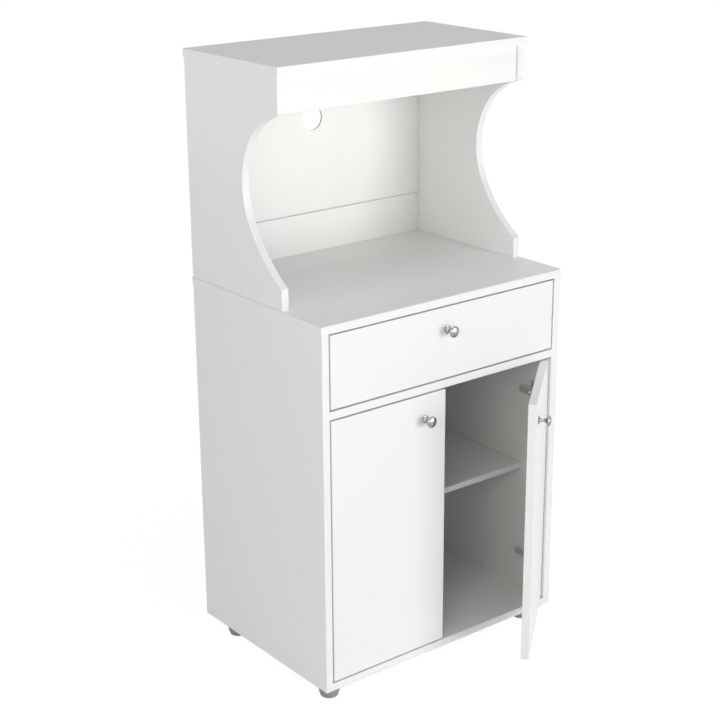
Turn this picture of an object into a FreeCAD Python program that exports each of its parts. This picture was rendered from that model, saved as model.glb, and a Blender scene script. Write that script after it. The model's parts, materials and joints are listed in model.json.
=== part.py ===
import FreeCAD, Part
import math
import os

import Sketcher

# A microwave stand: a base cabinet with one drawer over two doors, and an open hutch on top.
# Every place is worked out in the cabinet's frame: x = 0 midway, y = 0 at the rear face of the
# back boards with the front towards -Y, z = 0 at the floor. place() then shifts it in Y, so
# that the origin lies under the middle of the stand with its right door standing open.

Vector = FreeCAD.Vector
Rotation = FreeCAD.Rotation

os.makedirs("parts", exist_ok=True)
doc = FreeCAD.newDocument("MicrowaveStand")

# ---------------------------------------------------------------- driving dimensions
drivingSizes = [
    ("width", 600, "outside of the base cabinet, left to right"),
    ("baseDepth", 428, "back boards' rear face to the cabinet's front"),
    ("baseHeight", 732, "underside of the bottom panel to underside of the countertop"),
    ("hutchDepth", 307, "back boards' rear face to the hutch sides' front edges"),
    ("hutchHeight", 434, "hutch sides, between the countertop and the hutch top"),
    ("board", 16, "thickness of the carcass boards"),
    ("backBoard", 3, "thickness of the hardboard backs"),
    ("edgeBreak", 0.6, "softened corner of the edge banding"),
    ("footHeight", 15, "floor to underside of the bottom panel"),
    ("footTop", 42, "diameter of a foot where it meets the panel"),
    ("footBottom", 36, "diameter of a foot at the floor"),
    ("leftFootInset", 19, "left outer face to the left feet's centres"),
    ("rightFootInset", 65, "right outer face to the right feet's centres"),
    ("frontFootInset", 17.5, "cabinet front to the front feet's centres"),
    ("rearFootInset", 94, "rear face to the rear feet's centres"),
    ("footSeat", 4, "thickness of a foot over the head of its screw"),
    ("footRoom", 1.2, "radial room round that head"),
    ("footBevel", 1.5, "bevel at the floor and height of the upper rim"),
    ("dividerHeight", 565.5, "underside of the bottom panel to underside of the divider"),
    ("sideOverhang", 2, "countertop and hutch top beyond the sides"),
    ("counterOverhang", 1.5, "countertop beyond the cabinet front"),
    ("topOverhang", 5, "hutch top beyond the hutch sides' front edges"),
    ("headerHeight", 71, "header board under the hutch top"),
    ("headerSetback", 5, "hutch sides' front edges to the header's face"),
    ("biteRadius", 148.5, "round bite out of each hutch side's front"),
    ("biteDepth", 119, "front edge to the deepest point of the bite"),
    ("biteCentre", 219, "countertop to the centre of the bite"),
    ("flareRadius", 305, "flatter arc that carries the bite down to the front tip"),
    ("flareAngle", 30.4, "degrees below the bite's centre where the flatter arc starts"),
    ("cableHole", 50, "diameter of the cable hole in the hutch back"),
    ("cableHoleHeight", 280, "countertop to the centre of the cable hole"),
    ("seamHeight", 84, "countertop to the seam between the two hutch backs"),
    ("seamGap", 1.3, "open seam between the two hutch backs"),
    ("backInset", 2, "back boards' edges inside the outer faces"),
    ("backSeam", 1, "closed seam behind the countertop's rear edge"),
    ("shelfHeight", 308, "underside of the bottom panel to the shelf's upper face"),
    ("shelfBoard", 12, "thickness of the shelf"),
    ("shelfSetback", 76, "cabinet front to the shelf's front edge"),
    ("shelfPlay", 1, "gap between the shelf's edges and the boards beside it"),
    ("pinDiameter", 5, "shelf pins"),
    ("pinReach", 8, "length of a shelf pin, in the board and again out of it"),
    ("pinInset", 45, "shelf's front and rear edges to the pins"),
    ("frontGap", 3.5, "gap round the inset drawer front and doors"),
    ("centreGap", 5, "gap between the two doors"),
    ("doorOpen", 40.8, "degrees that the right door stands open"),
    ("knobHead", 23, "diameter of a knob's head"),
    ("knobReach", 25, "board face to the crown of a knob"),
    ("knobCrown", 4, "height of a knob's domed crown"),
    ("knobRim", 2, "height of the rounded rim under the crown"),
    ("knobShoulder", 4, "height of the slope from the rim in to the neck"),
    ("knobBase", 16, "diameter of a knob's rosette"),
    ("knobRosette", 2, "thickness of the rosette at its edge"),
    ("knobFlare", 4, "height of the hollow flare from the rosette to the neck"),
    ("flareCurve", 4.6, "radius of that flare"),
    ("knobNeck", 7, "diameter of a knob's neck"),
    ("knobThread", 4, "diameter of the knob screws"),
    ("knobThreadReach", 9, "length of screw inside a knob"),
    ("knobScrewHead", 8, "diameter of a knob screw's head"),
    ("knobScrewHeight", 2.4, "height of that head"),
    ("drawerKnobDrop", 49, "underside of the countertop to the drawer knob"),
    ("doorKnobDrop", 50, "top edge of a door to its knob"),
    ("doorKnobInset", 52, "free edge of a door to its knob"),
    ("slideGap", 12.5, "side panel to drawer side, for the slides"),
    ("slideLength", 350, "slide rails and drawer runners"),
    ("slideSteel", 1.2, "sheet thickness of rails and runners"),
    ("slideLift", 8, "divider to the underside of the rails"),
    ("slideSetback", 2, "rear face of the drawer front to the rails"),
    ("railFlange", 9.8, "width of a rail, from the side panel"),
    ("slideTravel", 260, "how far the drawer pulls out"),
    ("stopLength", 6, "stops pressed up in the rails' lower flanges"),
    ("stopRise", 1.5, "height of those stops"),
    ("stopGap", 0.3, "rear roller to a stop at each end of its travel"),
    ("railScrewFront", 60, "front end of a rail or runner to its front screw"),
    ("railScrewRear", 40, "rear end of a rail or runner to its rear screw"),
    ("rollerWidth", 6.5, "width of the slide rollers"),
    ("rollerBevel", 0.6, "bevel of the rollers' rims"),
    ("rollerSetback", 0.4, "edge of a rail's flange to the front roller's face"),
    ("rollerOffset", 1.4, "rear rollers farther from the side panel than the front ones"),
    ("rollerPlay", 0.6, "rear rollers to the rails' upper flanges"),
    ("rearRoller", 14.4, "diameter of the rollers at the drawer's rear"),
    ("frontRoller", 19, "diameter of the rollers at the cabinet's front"),
    ("axleDiameter", 4, "rivets that the rollers turn on"),
    ("rivetDiameter", 7, "heads of those rivets"),
    ("rivetHead", 0.8, "thickness of those heads"),
    ("rivetGap", 0.1, "a roller's face to its rivet's head"),
    ("runningGap", 0.05, "radial clearance of rollers and hinge pins"),
    ("rollerInset", 13, "end of a rail or runner to its roller's axle"),
    ("lipLift", 1, "rail's top to the underside of the runner's lip"),
    ("lipEdge", 3, "side panel to the edge of the runner's lip"),
    ("runnerSetback", 1, "drawer side's inner face to the edge of the runner's foot"),
    ("drawerBoard", 15, "thickness of the drawer sides and back"),
    ("drawerSideHeight", 95, "height of the drawer sides"),
    ("drawerSideLift", 3, "underside of the rails to the drawer sides' lower edges"),
    ("drawerBottom", 3, "thickness of the drawer bottom"),
    ("bottomRise", 10, "drawer sides' lower edges to the drawer bottom"),
    ("grooveDepth", 6, "grooves that hold the drawer bottom"),
    ("grooveGap", 0.2, "clearance of the drawer bottom in its grooves"),
    ("sheetGap", 0.5, "drawer bottom's edges to the floors of its grooves"),
    ("lowCamRise", 18, "underside of the drawer bottom to the lower cam joints"),
    ("highCamDrop", 20, "upper edge of the drawer sides to the upper cam joints"),
    ("camReach", 24, "end of a board to the centre of its cam disc"),
    ("camDiameter", 15, "cam discs"),
    ("camDepth", 12.5, "thickness of the cam discs"),
    ("boltThread", 11, "length of a cam bolt's screwed end"),
    ("boltDiameter", 6, "shank and head of the cam bolts"),
    ("boltNeck", 4, "diameter of the neck between them"),
    ("boltNeckLength", 2, "length of that neck"),
    ("boltHeadLength", 2, "straight part of a cam bolt's head"),
    ("boltRoom", 0.8, "radial room round a cam bolt in a board and in its disc"),
    ("discBevel", 0.5, "bevel of a cam disc's face"),
    ("crossLength", 8, "arms of the cross in a cam disc's face"),
    ("crossWidth", 1.6, "width of those arms"),
    ("crossDepth", 2.4, "depth of that cross"),
    ("camInset", 60, "front and rear edges of the carcass to its cam joints"),
    ("dowelStep", 32, "cam joint to the dowel beside it"),
    ("dowelDiameter", 8, "wooden dowels"),
    ("dowelShort", 9, "length of dowel in the board it is square to"),
    ("dowelLong", 20, "length of dowel in the board end"),
    ("fitGap", 0.1, "radial clearance of fixed fittings in their holes"),
    ("holeSpare", 0.5, "hole drilled on beyond the end of its fitting"),
    ("turnedEdge", 1, "slopes and bevels on the turned fittings"),
    ("hutchDowelRear", 120, "back boards to the rear dowels under the hutch sides"),
    ("hutchDowelFront", 40, "hutch sides' front edges to the front dowels under them"),
    ("headerDowelDrop", 22, "header's cam joints to the dowels below them"),
    ("confirmatInset", 140, "front and rear edges to the screws under the sides"),
    ("confirmatReach", 34, "length of those screws in the sides"),
    ("confirmatDiameter", 5, "core of those screws"),
    ("confirmatCollar", 6.8, "collar of those screws"),
    ("confirmatHead", 10, "diameter of their heads"),
    ("confirmatHeadHeight", 3, "height of their heads"),
    ("confirmatTip", 3, "length of their points"),
    ("screwDiameter", 3, "core of the small pan-head screws"),
    ("screwHead", 6.5, "diameter of their heads"),
    ("screwHeadHeight", 1.8, "height of their heads"),
    ("headRound", 0.8, "bevel of pan heads"),
    ("screwTip", 2, "length of the points of screws and nails"),
    ("screwRoom", 0.3, "radial room round a screw in sheet steel"),
    ("screwReach", 12, "length of those screws"),
    ("longScrewReach", 18, "length of the drawer's rear screws in its back"),
    ("armScrewReach", 8, "length of the screws through the hinge arms"),
    ("runnerScrewStop", 1, "points of the runner screws to the drawer bottom's level"),
    ("nailDiameter", 1.8, "back nails"),
    ("nailHead", 4, "diameter of their heads"),
    ("nailHeadHeight", 0.6, "thickness of their heads"),
    ("nailReach", 14, "length of those nails in the board edges"),
    ("nailInset", 60, "ends of the upright boards to the nails in them"),
    ("pivotInset", 12, "side panel to a door's hinge pin"),
    ("pivotDepth", 7.4, "front plane to a door's hinge pin"),
    ("hingeInset", 85, "top and bottom edges of a door to its hinges"),
    ("hingePin", 2.5, "diameter of the hinge pins"),
    ("hingePinLength", 18, "length of the hinge pins"),
    ("cupDiameter", 35, "hinge cups"),
    ("cupDepth", 12, "depth of the hinge cups in the doors"),
    ("cupEdge", 4, "hinge edge of a door to its cups"),
    ("cupFlange", 1.2, "thickness of a cup's flange"),
    ("cupRim", 1, "flange round a cup's mouth, beyond its hole"),
    ("cupWall", 4, "far side of a cup to the end of its slot"),
    ("cupFloor", 1, "floor of a cup under its slot"),
    ("earStart", 2, "cup centre to the near edge of its screw ears"),
    ("earMargin", 6, "cup screws to the ends and the far edge of the ears"),
    ("cupScrewSpacing", 48, "between the two screws of a cup"),
    ("cupScrewOffset", 9.5, "cup centre to its screws, away from the hinge edge"),
    ("armSteel", 2, "thickness of the hinge arms"),
    ("armWidth", 10, "width of a hinge arm inside its cup"),
    ("armRoom", 0.6, "clearance beside and behind an arm in its cup"),
    ("knuckleWall", 0.95, "wall of an arm's eye round the hinge pin"),
    ("armCrank", 11.7, "hinge pin to the inner face of the arm's crank"),
    ("armRise", 14, "hinge pin to the arm's rear bend"),
    ("armLength", 72, "hinge pin to the arm's rear end"),
    ("channelWidth", 14, "width of the arm's rear channel"),
    ("channelStart", 4, "arm's rear bend to its side flanges"),
    ("channelDepth", 7, "depth of those flanges below the arm"),
    ("plateSpacing", 32, "between the two screws of a hinge plate"),
    ("plateCentre", 42, "hinge pin to the screws of its hinge plate"),
    ("plateSteel", 2, "thickness of a hinge plate's wings"),
    ("wingMargin", 7, "plate screws to the ends and sides of the wings"),
    ("spineAhead", 16, "plate screws to the front end of its spine"),
    ("spineLength", 40, "length of the spine that the arm sits over"),
    ("spineRoom", 0.5, "clearance of the spine inside the arm's channel"),
]
dims = doc.addObject("Spreadsheet::Sheet", "dims")
for row, (alias, size, note) in enumerate(drivingSizes, start=1):
    dims.set(f"A{row}", alias)
    dims.set(f"B{row}", str(size))
    dims.setAlias(f"B{row}", alias)
    dims.set(f"C{row}", note)
doc.recompute()

# ---------------------------------------------------------------- levels and faces
half = "dims.width / 2"
inner = "(dims.width / 2 - dims.board)"
middle = "(dims.width / 2 - dims.board / 2)"
front = "(-dims.baseDepth)"
rear = "(-dims.backBoard)"
slabUnder = "dims.footHeight"
slabTop = "(dims.footHeight + dims.board)"
dividerUnder = "(dims.footHeight + dims.dividerHeight)"
dividerTop = "(dims.footHeight + dims.dividerHeight + dims.board)"
counterUnder = "(dims.footHeight + dims.baseHeight)"
counterTop = "(dims.footHeight + dims.baseHeight + dims.board)"
hutchTopUnder = f"({counterTop} + dims.hutchHeight)"
hutchFront = "(-dims.hutchDepth)"
headerBack = "(-dims.hutchDepth + dims.headerSetback + dims.board)"
baseInside = "(dims.baseDepth - dims.backBoard)"
frontInner = f"({front} + dims.board)"
railUnder = f"({dividerTop} + dims.slideLift)"
pivotX = f"({inner} - dims.pivotInset)"
pivotY = f"({front} + dims.pivotDepth)"
doorReach = f"({pivotX} - dims.centreGap / 2)"
doorBottom = f"({slabTop} + dims.frontGap)"
doorTop = f"({dividerUnder} - dims.frontGap)"
cornerReach = (f"(({doorReach} - dims.edgeBreak) * sin(dims.doorOpen)"
               " + dims.pivotDepth * cos(dims.doorOpen))")
backPlane = f"((-{pivotY} + {cornerReach}) / 2)"


def value(expression):
    """The number that an expression gives with the sheet's present sizes."""
    return float(dims.evalExpression(expression))


# ---------------------------------------------------------------- sketching and solids
# The plane square to y looks towards -Y, and the other two along their axes.
planes = {"x": "YZ_Plane", "y": "XZ_Plane", "z": "XY_Plane"}


def newBody(label):
    body = doc.addObject("PartDesign::Body", label)
    body.Label = label
    return body


def newSketch(body, axis, level="0"):
    """A sketch square to an axis of the body, at a level along that axis."""
    sketch = body.newObject("Sketcher::SketchObject", "Sketch")
    plane = next(item for item in body.Origin.OriginFeatures if item.Role == planes[axis])
    sketch.AttachmentSupport = [(plane, "")]
    sketch.MapMode = "FlatFace"
    sketch.setExpression("AttachmentOffset.Base.z", f"-({level})" if axis == "y" else level)
    return sketch


def bind(sketch, constraint, expression):
    """Add one dimension to a sketch and bind it to the sheet."""
    index = sketch.addConstraint(constraint)
    sketch.setExpression(f"Constraints[{index}]", expression)


def fixPoint(sketch, geometry, point, x, y):
    bind(sketch, Sketcher.Constraint("DistanceX", -1, 1, geometry, point, value(x)), x)
    bind(sketch, Sketcher.Constraint("DistanceY", -1, 1, geometry, point, value(y)), y)


def circle(sketch, x, y, diameter):
    centre = Vector(value(x), value(y), 0)
    radius = value(diameter) / 2
    index = sketch.addGeometry(Part.Circle(centre, Vector(0, 0, 1), radius))
    fixPoint(sketch, index, 3, x, y)
    bind(sketch, Sketcher.Constraint("Diameter", index, 2 * radius), diameter)


def outline(sketch, corners):
    """A closed outline. A corner is (x, y), or (x, y, radius, turn) where the edge that
    leaves it is an arc: turn 1 runs anticlockwise and -1 clockwise."""
    spots = [Vector(value(corner[0]), value(corner[1]), 0) for corner in corners]
    edges = []
    for number, corner in enumerate(corners):
        start = spots[number]
        end = spots[(number + 1) % len(corners)]
        if len(corner) == 2:
            edges.append((sketch.addGeometry(Part.LineSegment(start, end)), 1, 2))
            continue
        radius = value(corner[2])
        chord = end - start
        left = Vector(-chord.y, chord.x, 0).normalize() * corner[3]
        rise = math.sqrt(max(radius ** 2 - chord.Length ** 2 / 4, 0))
        centre = (start + end) / 2 + left * rise
        ends = [start, end] if corner[3] > 0 else [end, start]
        angles = [math.atan2(spot.y - centre.y, spot.x - centre.x) for spot in ends]
        ring = Part.Circle(centre, Vector(0, 0, 1), radius)
        index = sketch.addGeometry(Part.ArcOfCircle(ring, angles[0], angles[1]))
        bind(sketch, Sketcher.Constraint("Radius", index, radius), corner[2])
        edges.append((index, 1, 2) if corner[3] > 0 else (index, 2, 1))
    for number, (index, first, last) in enumerate(edges):
        follower, nextFirst, _ = edges[(number + 1) % len(edges)]
        sketch.addConstraint(Sketcher.Constraint("Coincident", index, last, follower, nextFirst))
        fixPoint(sketch, index, first, corners[number][0], corners[number][1])


def rectangle(sketch, x, y, wide, high):
    outline(sketch, [(x, y), (f"{x} + {wide}", y), (f"{x} + {wide}", f"{y} + {high}"),
                     (x, f"{y} + {high}")])


def extrude(sketch, axis, reach, sign, cut=False):
    """Pad or pocket a sketch along its axis: sign 1 goes towards + and -1 towards -."""
    body = sketch.getParentGeoFeatureGroup()
    feature = body.newObject("PartDesign::Pocket" if cut else "PartDesign::Pad", "Extrude")
    feature.Profile = sketch
    feature.Reversed = ((sign < 0) != (axis == "y")) != cut
    feature.setExpression("Length", reach)
    body.Tip = feature
    return feature


def revolve(body, corners):
    """A turned piece: corners are (radius, height) along the body's Z axis."""
    sketch = newSketch(body, "y")
    outline(sketch, corners)
    feature = body.newObject("PartDesign::Revolution", "Revolve")
    feature.Profile = sketch
    feature.ReferenceAxis = (sketch, ["V_Axis"])
    feature.Angle = 360
    body.Tip = feature
    return feature


def softenEdges(body, size="dims.edgeBreak"):
    base = body.Tip
    chamfer = body.newObject("PartDesign::Chamfer", "Chamfer")
    chamfer.Base = (base, ["Edge1"])
    chamfer.UseAllEdges = True
    chamfer.setExpression("Size", size)
    body.Tip = chamfer


# ---------------------------------------------------------------- places
# A frame is where a group of pieces stands: its x, its y, and the angle it is turned by.
cabinet = ("0", "0", None)
leftDoorFrame = (f"-{pivotX}", pivotY, None)
rightDoorFrame = (pivotX, pivotY, "dims.doorOpen")


def place(item, frame, spot):
    """Put an object at a spot of a frame, turned with the frame."""
    x, y, angle = frame
    alongX, alongY = spot[0], spot[1]
    if angle:
        alongX = f"cos({angle}) * ({spot[0]}) - sin({angle}) * ({spot[1]})"
        alongY = f"sin({angle}) * ({spot[0]}) + cos({angle}) * ({spot[1]})"
        item.Placement.Rotation = Rotation(Vector(0, 0, 1), value(angle))
        item.setExpression("Placement.Rotation.Angle", angle)
    item.setExpression("Placement.Base.x", f"{x} + {alongX}")
    item.setExpression("Placement.Base.y", f"{y} + {alongY} + {backPlane}")
    item.setExpression("Placement.Base.z", spot[2])


def offset(spot, normal, amount):
    """A spot moved along a direction such as "+x" by an amount."""
    number = "xyz".index(normal[1])
    moved = list(spot)
    moved[number] = f"({spot[number]} {normal[0]} ({amount}))"
    return tuple(moved)


def opposite(normal):
    return {"+": "-", "-": "+"}[normal[0]] + normal[1]


def across(side, distance):
    """The x of a distance from the middle: side 1 is the right one and -1 the left one."""
    return distance if side > 0 else f"(-{distance})"


nodes = []
boards = []


def inPlane(axis):
    """The numbers, in (x, y, z), of the two directions square to an axis."""
    return [number for number, name in enumerate("xyz") if name != axis]


class Board:
    """A flat board with its low corner at a spot of a frame, and the holes drilled in it."""

    def __init__(self, label, low, size, frame=cabinet, shape=None):
        self.body = newBody(label)
        self.low = low
        self.size = size
        self.holes = {}
        if shape:
            sketch = newSketch(self.body, "x")
            outline(sketch, shape)
            extrude(sketch, "x", size[0], 1)
        else:
            sketch = newSketch(self.body, "z")
            rectangle(sketch, "0", "0", size[0], size[1])
            extrude(sketch, "z", size[2], 1)
        softenEdges(self.body)
        place(self.body, frame, low)
        nodes.append(self.body)
        boards.append(self)

    def drill(self, normal, spot, diameter, depth):
        """A hole from the face with this outward normal, centred over a spot of the frame."""
        self.holes.setdefault((normal, diameter, depth), []).append(spot)

    def groove(self, normal, low, size, depth):
        """A rectangular recess in the face with this outward normal."""
        axis = normal[1]
        number = "xyz".index(axis)
        sketch = newSketch(self.body, axis, self.size[number] if normal[0] == "+" else "0")
        a, b = inPlane(axis)
        rectangle(sketch, f"({low[a]} - {self.low[a]})", f"({low[b]} - {self.low[b]})",
                  size[0], size[1])
        extrude(sketch, axis, depth, -1 if normal[0] == "+" else 1, cut=True)

    def cutHoles(self):
        for (normal, diameter, depth), spots in self.holes.items():
            axis = normal[1]
            level = self.size["xyz".index(axis)] if normal[0] == "+" else "0"
            sketch = newSketch(self.body, axis, level)
            a, b = inPlane(axis)
            for spot in spots:
                circle(sketch, f"({spot[a]}) - ({self.low[a]})", f"({spot[b]}) - ({self.low[b]})",
                       diameter)
            extrude(sketch, axis, depth, -1 if normal[0] == "+" else 1, cut=True)


turns = {
    "+x": Rotation(Vector(0, 1, 0), 90), "-x": Rotation(Vector(0, 1, 0), -90),
    "+y": Rotation(Vector(1, 0, 0), -90), "-y": Rotation(Vector(1, 0, 0), 90),
    "+z": Rotation(), "-z": Rotation(Vector(1, 0, 0), 180),
}
arrows = {
    "+x": Vector(1, 0, 0), "-x": Vector(-1, 0, 0), "+y": Vector(0, 1, 0),
    "-y": Vector(0, -1, 0), "+z": Vector(0, 0, 1), "-z": Vector(0, 0, -1),
}


def turnTo(heading, sideways=None):
    """The turn that points a fitting's Z along heading and, if given, its X along sideways."""
    if not sideways:
        return turns[heading]
    x, z = arrows[sideways], arrows[heading]
    return Rotation(x, z.cross(x), z, "ZXY")


def fittings(label, masters, spots, frame=cabinet):
    """One node of like fittings: a link to its master at each (spot, turn). The masters are
    one body, or one for each spot where there are left and right hands."""
    if not isinstance(masters, list):
        masters = [masters] * len(spots)
    links = []
    for master, (spot, turn) in zip(masters, spots):
        link = doc.addObject("App::Link", "Fitting")
        link.LinkedObject = master
        link.Placement.Rotation = turn
        link.setExpression("Placement.Base.x", spot[0])
        link.setExpression("Placement.Base.y", spot[1])
        link.setExpression("Placement.Base.z", spot[2])
        links.append(link)
    group = doc.addObject("Part::Compound", label)
    group.Label = label
    group.Links = links
    place(group, frame, ("0", "0", "0"))
    nodes.append(group)


# ---------------------------------------------------------------- masters of the fittings
def makeCamBolt():
    """Screwed end below the origin; shank, neck and ball head above it."""
    body = newBody("camBoltMaster")
    radius = "dims.boltDiameter / 2"
    neck = "dims.boltNeck / 2"
    headLow = "(dims.camReach - dims.boltHeadLength / 2)"
    headHigh = "(dims.camReach + dims.boltHeadLength / 2)"
    neckHigh = f"({headLow} - dims.turnedEdge)"
    neckLow = f"({neckHigh} - dims.boltNeckLength)"
    revolve(body, [("0", "-dims.boltThread"), (radius, "-dims.boltThread"),
                   (radius, f"{neckLow} - dims.turnedEdge"), (neck, neckLow), (neck, neckHigh),
                   (radius, headLow), (radius, headHigh), ("0", f"{headHigh} + dims.turnedEdge")])
    return body


def makeCamDisc(name, thickness):
    """Flush face at the origin looking along Z; the bolt comes in along X, midway in a board
    of this thickness."""
    body = newBody(name)
    wall = "(dims.camDiameter / 2 - dims.fitGap)"
    revolve(body, [("0", "-dims.camDepth"), (wall, "-dims.camDepth"), (wall, "-dims.discBevel"),
                   (f"{wall} - dims.discBevel", "0"), ("0", "0")])
    mouth = newSketch(body, "x", "-(dims.boltDiameter / 2 + dims.boltRoom)")
    circle(mouth, "0", f"-{thickness} / 2", "dims.boltDiameter + 2 * dims.boltRoom")
    extrude(mouth, "x", "dims.camDiameter", 1, cut=True)
    for long, wide in (("dims.crossLength", "dims.crossWidth"),
                       ("dims.crossWidth", "dims.crossLength")):
        slot = newSketch(body, "z")
        rectangle(slot, f"-{long} / 2", f"-{wide} / 2", long, wide)
        extrude(slot, "z", "dims.crossDepth", -1, cut=True)
    return body


def makeDowel():
    """Fluted dowel, taken as plain: the short end below the origin and the long end above."""
    body = newBody("dowelMaster")
    radius = "(dims.dowelDiameter / 2 - dims.fitGap)"
    edge = "dims.turnedEdge"
    revolve(body, [("0", "-dims.dowelShort"), (f"{radius} - {edge}", "-dims.dowelShort"),
                   (radius, f"{edge} - dims.dowelShort"), (radius, f"dims.dowelLong - {edge}"),
                   (f"{radius} - {edge}", "dims.dowelLong"), ("0", "dims.dowelLong")])
    return body


def makeConfirmat():
    """Flat head at the origin, looking down; collar and core point up along Z."""
    body = newBody("confirmatMaster")
    core = "dims.confirmatDiameter / 2"
    collar = "dims.confirmatCollar / 2"
    revolve(body, [("0", "0"), ("dims.confirmatHead / 2", "0"),
                   (collar, "dims.confirmatHeadHeight"), (collar, "dims.board - dims.turnedEdge"),
                   (core, "dims.board"),
                   (core, "dims.board + dims.confirmatReach - dims.confirmatTip"),
                   ("0", "dims.board + dims.confirmatReach")])
    return body


def makeScrew(name, reach, headDown):
    """Small screw: the head's bearing face at the origin, the core pointing along Z."""
    body = newBody(name)
    core = "dims.screwDiameter / 2"
    head = "dims.screwHead / 2"
    if headDown:
        top = [("0", "-dims.screwHeadHeight"),
               (f"{head} - dims.headRound", "-dims.screwHeadHeight"),
               (head, "-dims.screwHeadHeight + dims.headRound"), (head, "0"), (core, "0")]
    else:
        top = [("0", "0"), (head, "0"), (core, "dims.screwHeadHeight")]
    revolve(body, top + [(core, f"{reach} - dims.screwTip"), ("0", reach)])
    return body


def makeNail():
    """Flat head with its face at the origin, the shank pointing along Z."""
    body = newBody("nailMaster")
    reach = "(dims.backBoard + dims.nailReach)"
    head = "dims.nailHead / 2"
    shank = "dims.nailDiameter / 2"
    revolve(body, [("0", "0"), (head, "0"), (head, "dims.nailHeadHeight"),
                   (shank, "dims.nailHeadHeight"), (shank, f"{reach} - dims.screwTip"),
                   ("0", reach)])
    return body


def makeShelfPin():
    """Half in the side panel below the origin, half out of it above."""
    body = newBody("shelfPinMaster")
    radius = "(dims.pinDiameter / 2 - dims.fitGap / 2)"
    revolve(body, [("0", "-dims.pinReach"), (radius, "-dims.pinReach"),
                   (radius, "dims.pinReach - dims.turnedEdge"),
                   (f"{radius} - dims.turnedEdge", "dims.pinReach"), ("0", "dims.pinReach")])
    return body


def makeHingePin():
    body = newBody("hingePinMaster")
    radius = "dims.hingePin / 2"
    end = "dims.hingePinLength / 2"
    revolve(body, [("0", f"-{end}"), (radius, f"-{end}"), (radius, end), ("0", end)])
    return body


# ---------------------------------------------------------------- joints of the boards
camBolts, camDiscs, dowels, confirmats, nails, screws = [], [], [], [], [], []
drawerBolts, drawerDiscs, drawerScrews = [], [], []


def camJoint(square, butting, spot, heading, discFace, bolts=camBolts, discs=camDiscs,
             thickness="dims.board"):
    """A cam bolt screwed into the square board at a spot, running along heading into the
    end of the butting board, where a cam disc sits in the face that looks along discFace."""
    square.drill(heading, spot, "dims.boltDiameter", "dims.boltThread + dims.holeSpare")
    butting.drill(opposite(heading), spot, "dims.boltDiameter + 2 * dims.boltRoom",
                  "dims.camReach")
    centre = offset(offset(spot, heading, "dims.camReach"), discFace, f"{thickness} / 2")
    butting.drill(discFace, centre, "dims.camDiameter", "dims.camDepth + 2 * dims.fitGap")
    bolts.append((spot, turnTo(heading)))
    discs.append((centre, turnTo(discFace, opposite(heading))))


def dowelJoint(square, butting, spot, heading):
    square.drill(heading, spot, "dims.dowelDiameter", "dims.dowelShort + dims.holeSpare")
    butting.drill(opposite(heading), spot, "dims.dowelDiameter",
                  "dims.dowelLong + dims.holeSpare")
    dowels.append((spot, turnTo(heading)))


def nailDown(back, edge, x, z):
    """A nail through a back board into the rear edge of the board before it."""
    spot = (x, "0", z)
    back.drill("+y", spot, "dims.nailHead + 2 * dims.fitGap", "dims.nailHeadHeight")
    back.drill("+y", spot, "dims.nailDiameter", "dims.backBoard")
    edge.drill("+y", spot, "dims.nailDiameter", "dims.nailReach + dims.holeSpare")
    nails.append((spot, turnTo("-y")))


def spread(first, last, count):
    """Evenly spaced expressions from first to last."""
    return [f"({first} + ({last} - {first}) * {number} / {count - 1})" for number in range(count)]


# ---------------------------------------------------------------- carcass boards
bottomPanel = Board("bottom_panel", (f"-{half}", front, slabUnder),
                    ("dims.width", baseInside, "dims.board"))
sidePanels = {}
for side, name in ((-1, "left"), (1, "right")):
    lowX = f"-{half}" if side < 0 else inner
    sidePanels[side] = Board(f"{name}_side_panel", (lowX, front, slabTop),
                             ("dims.board", baseInside, "(dims.baseHeight - dims.board)"))
countertop = Board("countertop",
                   (f"(-{half} - dims.sideOverhang)", f"({front} - dims.counterOverhang)",
                    counterUnder),
                   ("(dims.width + 2 * dims.sideOverhang)",
                    f"({baseInside} + dims.counterOverhang)", "dims.board"))
divider = Board("drawer_divider", (f"-{inner}", front, dividerUnder),
                (f"(2 * {inner})", baseInside, "dims.board"))
shelf = Board("cupboard_shelf",
              (f"(-{inner} + dims.shelfPlay)", f"({front} + dims.shelfSetback)",
               "(dims.footHeight + dims.shelfHeight - dims.shelfBoard)"),
              (f"(2 * ({inner} - dims.shelfPlay))",
               f"({baseInside} - dims.shelfSetback - dims.shelfPlay)", "dims.shelfBoard"))

# The hutch side's front edge is bitten away by one arc, which a flatter arc carries down to
# a tip just over the countertop; both meet the straight front edge.
biteY = "(-dims.hutchDepth + dims.biteDepth - dims.biteRadius + dims.backBoard)"
edgeY = "(-dims.hutchDepth + dims.backBoard)"
joinY = f"({biteY} + dims.biteRadius * cos(dims.flareAngle))"
joinZ = "(dims.biteCentre - dims.biteRadius * sin(dims.flareAngle))"
flareY = f"({joinY} - dims.flareRadius * cos(dims.flareAngle))"
flareZ = f"({joinZ} + dims.flareRadius * sin(dims.flareAngle))"
tipZ = f"({flareZ} - sqrt(dims.flareRadius ^ 2 - ({edgeY} - {flareY}) ^ 2))"
biteTopZ = f"(dims.biteCentre + sqrt(dims.biteRadius ^ 2 - ({edgeY} - {biteY}) ^ 2))"
hutchOutline = [("0", "0"), (edgeY, "0"), (edgeY, tipZ, "dims.flareRadius", 1),
                (joinY, joinZ, "dims.biteRadius", 1), (edgeY, biteTopZ),
                (edgeY, "dims.hutchHeight"), ("0", "dims.hutchHeight")]
hutchSides = {}
for side, name in ((-1, "left"), (1, "right")):
    lowX = f"-{half}" if side < 0 else inner
    hutchSides[side] = Board(f"{name}_hutch_side", (lowX, rear, counterTop),
                             ("dims.board", "0", "dims.hutchHeight"), shape=hutchOutline)
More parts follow.
